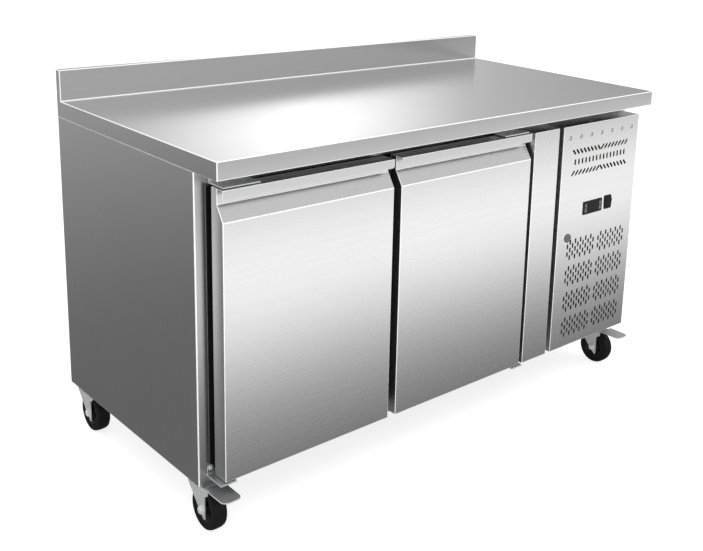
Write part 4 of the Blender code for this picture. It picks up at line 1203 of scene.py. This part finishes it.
def make_swivel(corner, px, py, centre):
    """Swivel head above the fork, and the axle bolt with its nuts and washers."""
    fork = corner + "_castor_fork"
    low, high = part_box(fork)
    top = high.z
    body = body_of(fork)
    bm = bmesh.new()
    race = [
        (0.0066, -0.0007), (0.0180, -0.0007), (0.0200, 0.0016), (0.0222, 0.0050), (0.0222, 0.0086),
        (0.0206, 0.0096), (0.0200, 0.0104), (0.0218, 0.0116), (0.0222, 0.0140),
    ]
    race = [(r, CROWN + h) for r, h in race] + [(0.0210, top - 0.0012), (0.0185, top), (0.0066, top)]
    turned(bm, race, (px, py, 0), "z", 48)
    place(corner + "_swivel_race", bm, ZINC, body)
    bm = bmesh.new()
    reach = (high.x - low.x) / 2
    shank = reach - 0.0008
    wy, wz = centre.y, centre.z
    axle = [(0, -reach), (0.0042, -reach), (AXLE_R, -shank), (AXLE_R, shank), (0.0042, reach), (0, reach)]
    turned(bm, axle, (px, wy, wz), "x", 32)
    washer = [(AXLE_R, 0), (0.0098, 0), (0.0098, WASHER_T), (AXLE_R, WASHER_T)]
    out = LEG_IN + LEG_T
    for sign in (-1, 1):
        a, b = px + sign * (out + 0.0008), px + sign * (out + 0.0050)
        slab(bm, hexagon(wy, wz, 0.0086), "x", a, b, 0.0006)
        start = px + sign * (out + 0.0001) - (WASHER_T if sign < 0 else 0)
        turned(bm, washer, (start, wy, wz), "x", 32)
    place(corner + "_axle_bolt", bm, BRIGHT_ZINC_AND_RIM_HIGHLIGHT, body)
    return top


def make_castor(corner):
    plate_low, plate_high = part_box(corner + "_castor_plate")
    px, py = (plate_low.x + plate_high.x) / 2, (plate_low.y + plate_high.y) / 2
    centre = make_wheel(corner)
    make_fork(corner, px, centre)
    top = make_swivel(corner, px, py, centre)
    folded(corner + "_castor_plate", ZINC, 0.0006, corner + "_top_plate", None, 2)
    bm = bmesh.new()
    z1 = top + TOUCH
    for sx in (-1, 1):
        for sy in (-1, 1):
            head = hexagon(px + sx * 0.0195, py + sy * 0.0215, 0.0038)
            slab(bm, head, "z", z1 - 0.0028, z1, 0.0004)
    place(corner + "_plate_bolts", bm, BRIGHT_ZINC_AND_RIM_HIGHLIGHT, "cabinet")
    if corner.startswith("front"):
        pedal, name = corner + "_brake_pedal", corner + "_pedal_pressing"
        # The pedal's rims are bright zinc: a painted highlight along its edges.
        folded(pedal, PEDAL_ZINC, 0.0009, name, BRIGHT_ZINC_AND_RIM_HIGHLIGHT)


# ---------------------------------------------------------------- studio, camera
def stage_mesh(name, bm, mat, reflection_only=False):
    """Studio surface; one for reflections only is hidden from everything else."""
    obj = linked(name, bm)
    obj.data.materials.append(mat)
    if reflection_only:
        obj.visible_camera = False
        obj.visible_diffuse = False
        obj.visible_shadow = False
        obj.visible_transmission = False


PEAK = 2.2              # brightest emission on a stage surface
DEGREES = 57.2958       # in a radian


class Glow(Nodes):
    """Emission whose brightness changes over a studio surface."""

    def __init__(self, name):
        super().__init__(name)
        self.tree.nodes.clear()
        split = self.node("SeparateXYZ")
        self.join(self.node("TexCoord").outputs["Object"], split.inputs[0])
        self.x, self.y, self.z = split.outputs

    def math(self, operation, first, second):
        node = self.node("Math")
        node.operation = operation
        self.connect(first, node.inputs[0])
        self.connect(second, node.inputs[1])
        return node.outputs[0]

    def tone(self, bright):
        return (*grey(bright / PEAK), 1.0)

    def ramp(self, value, stops):
        """Brightness that follows (value, brightness) stops."""
        low, high = stops[0][0], stops[-1][0]
        share = self.math("DIVIDE", self.math("SUBTRACT", value, low), high - low)
        node = self.node("ValToRGB")
        node.color_ramp.interpolation = "B_SPLINE"
        elements = node.color_ramp.elements
        while len(elements) < len(stops):
            elements.new(0.5)
        for element, (at, bright) in zip(elements, stops):
            element.position = (at - low) / (high - low)
            element.color = self.tone(bright)
        self.join(share, node.inputs["Fac"])
        return node.outputs["Color"]

    def fade(self, value, start, stop, first, bright):
        """Run from the first colour to a plain brightness as value rises."""
        share = self.node("MapRange", From_Min=start, From_Max=stop)
        share.interpolation_type = "SMOOTHSTEP"
        self.join(value, share.inputs["Value"])
        return self.mix(share.outputs["Result"], first, self.tone(bright))

    def finish(self, colour):
        glow = self.node("Emission", Strength=PEAK)
        self.join(colour, glow.inputs["Color"])
        self.join(glow.outputs[0], self.node("OutputMaterial").inputs["Surface"])
        return self.mat


def floor_reflection():
    """What the steel mirrors of the studio floor: one soft pool of light in
    front of the doors that fades to grey near the cabinet and behind it."""
    glow = Glow("floor_reflection")
    pool = glow.ramp(glow.y, [
        (-6.0, 0.30), (-3.2, 0.35), (-2.2, 1.20), (-1.6, 2.10), (-1.2, 1.20),
        (-0.8, 0.42), (-0.3, 0.12), (1.5, 0.20), (4.0, 0.50),
    ])
    return glow.finish(pool)


def tent_reflection():
    """What the steel mirrors above the floor: grey walls, one soft window
    behind the cabinet to the right, and a lighter ceiling."""
    glow = Glow("tent_reflection")
    turn = glow.math("MULTIPLY", glow.math("ARCTAN2", glow.x, glow.y), DEGREES)
    walls = glow.ramp(turn, [
        (-180, 0.90), (-100, 0.90), (-50, 0.25), (22, 0.25), (33, 2.10),
        (37, 2.10), (47, 0.25), (90, 0.30), (180, 0.90),
    ])
    return glow.finish(glow.fade(glow.z, 3.3, 5.5, walls, 0.85))


def soft_light(name, location, target, size, watts):
    data = bpy.data.lights.new(name, "AREA")
    data.shape = "RECTANGLE"
    data.size, data.size_y = size
    data.energy = watts
    obj = bpy.data.objects.new(name, data)
    SCENE.collection.objects.link(obj)
    obj.location = location
    direction = Vector(target) - Vector(location)
    obj.rotation_euler = direction.to_track_quat("-Z", "Y").to_euler()
    obj.visible_glossy = False


def make_studio():
    world = bpy.data.worlds.new("studio")
    SCENE.world = world
    world.use_nodes = True
    back = world.node_tree.nodes["Background"]
    back.inputs["Color"].default_value = (1.0, 1.0, 1.0, 1.0)
    back.inputs["Strength"].default_value = 1.0
    SCENE.view_settings.view_transform = "Standard"

    look = Look("studio_floor_paint")
    cloud = look.noise((0.6, 0.6, 0.6), 2.0)
    look.colour(look.blend(cloud, grey(0.42), grey(0.44)))
    look.roughness(look.spread(cloud, 0.75, 0.85))
    look.shader.inputs["Emission Color"].default_value = (1.0, 1.0, 1.0, 1.0)
    look.shader.inputs["Emission Strength"].default_value = 0.78
    look.shader.inputs["Specular IOR Level"].default_value = 0.0
    bm = bmesh.new()
    bmesh.ops.create_circle(bm, cap_ends=True, segments=96, radius=14.0)
    stage_mesh("studio_floor", bm, look.mat)

    bm = bmesh.new()
    bmesh.ops.create_circle(bm, cap_ends=True, segments=96, radius=13.0)
    bmesh.ops.translate(bm, verts=bm.verts, vec=(0, 0, 0.0006))
    stage_mesh("studio_floor_glow", bm, floor_reflection(), True)
    bm = bmesh.new()
    bmesh.ops.create_uvsphere(bm, u_segments=96, v_segments=48, radius=12.9)
    stage_mesh("studio_tent_glow", bm, tent_reflection(), True)

    soft_light("key_softbox", (-1.2, -2.2, 3.2), (0, 0, 0.3), (2.6, 2.0), 50)
    soft_light("fill_softbox", (2.6, -2.4, 2.2), (0, 0, 0.4), (2.2, 2.0), 25)


def make_camera():
    data = bpy.data.cameras.new("photo_camera")
    data.sensor_width = 36.0
    data.lens = 52.22
    data.shift_x = -0.1117
    data.shift_y = -0.1785
    camera = bpy.data.objects.new("photo_camera", data)
    SCENE.collection.objects.link(camera)
    camera.location = (-1.6360, -1.9367, 1.2967)
    camera.rotation_euler = [math.radians(a) for a in (76.37, -2.07, -42.74)]
    SCENE.camera = camera


make_cabinet()
make_front_panels()
make_doors()
make_thermostat()
make_switch()
make_shelves()
make_cooling()
for corner in CORNERS:
    make_castor(corner)
make_studio()
make_camera()
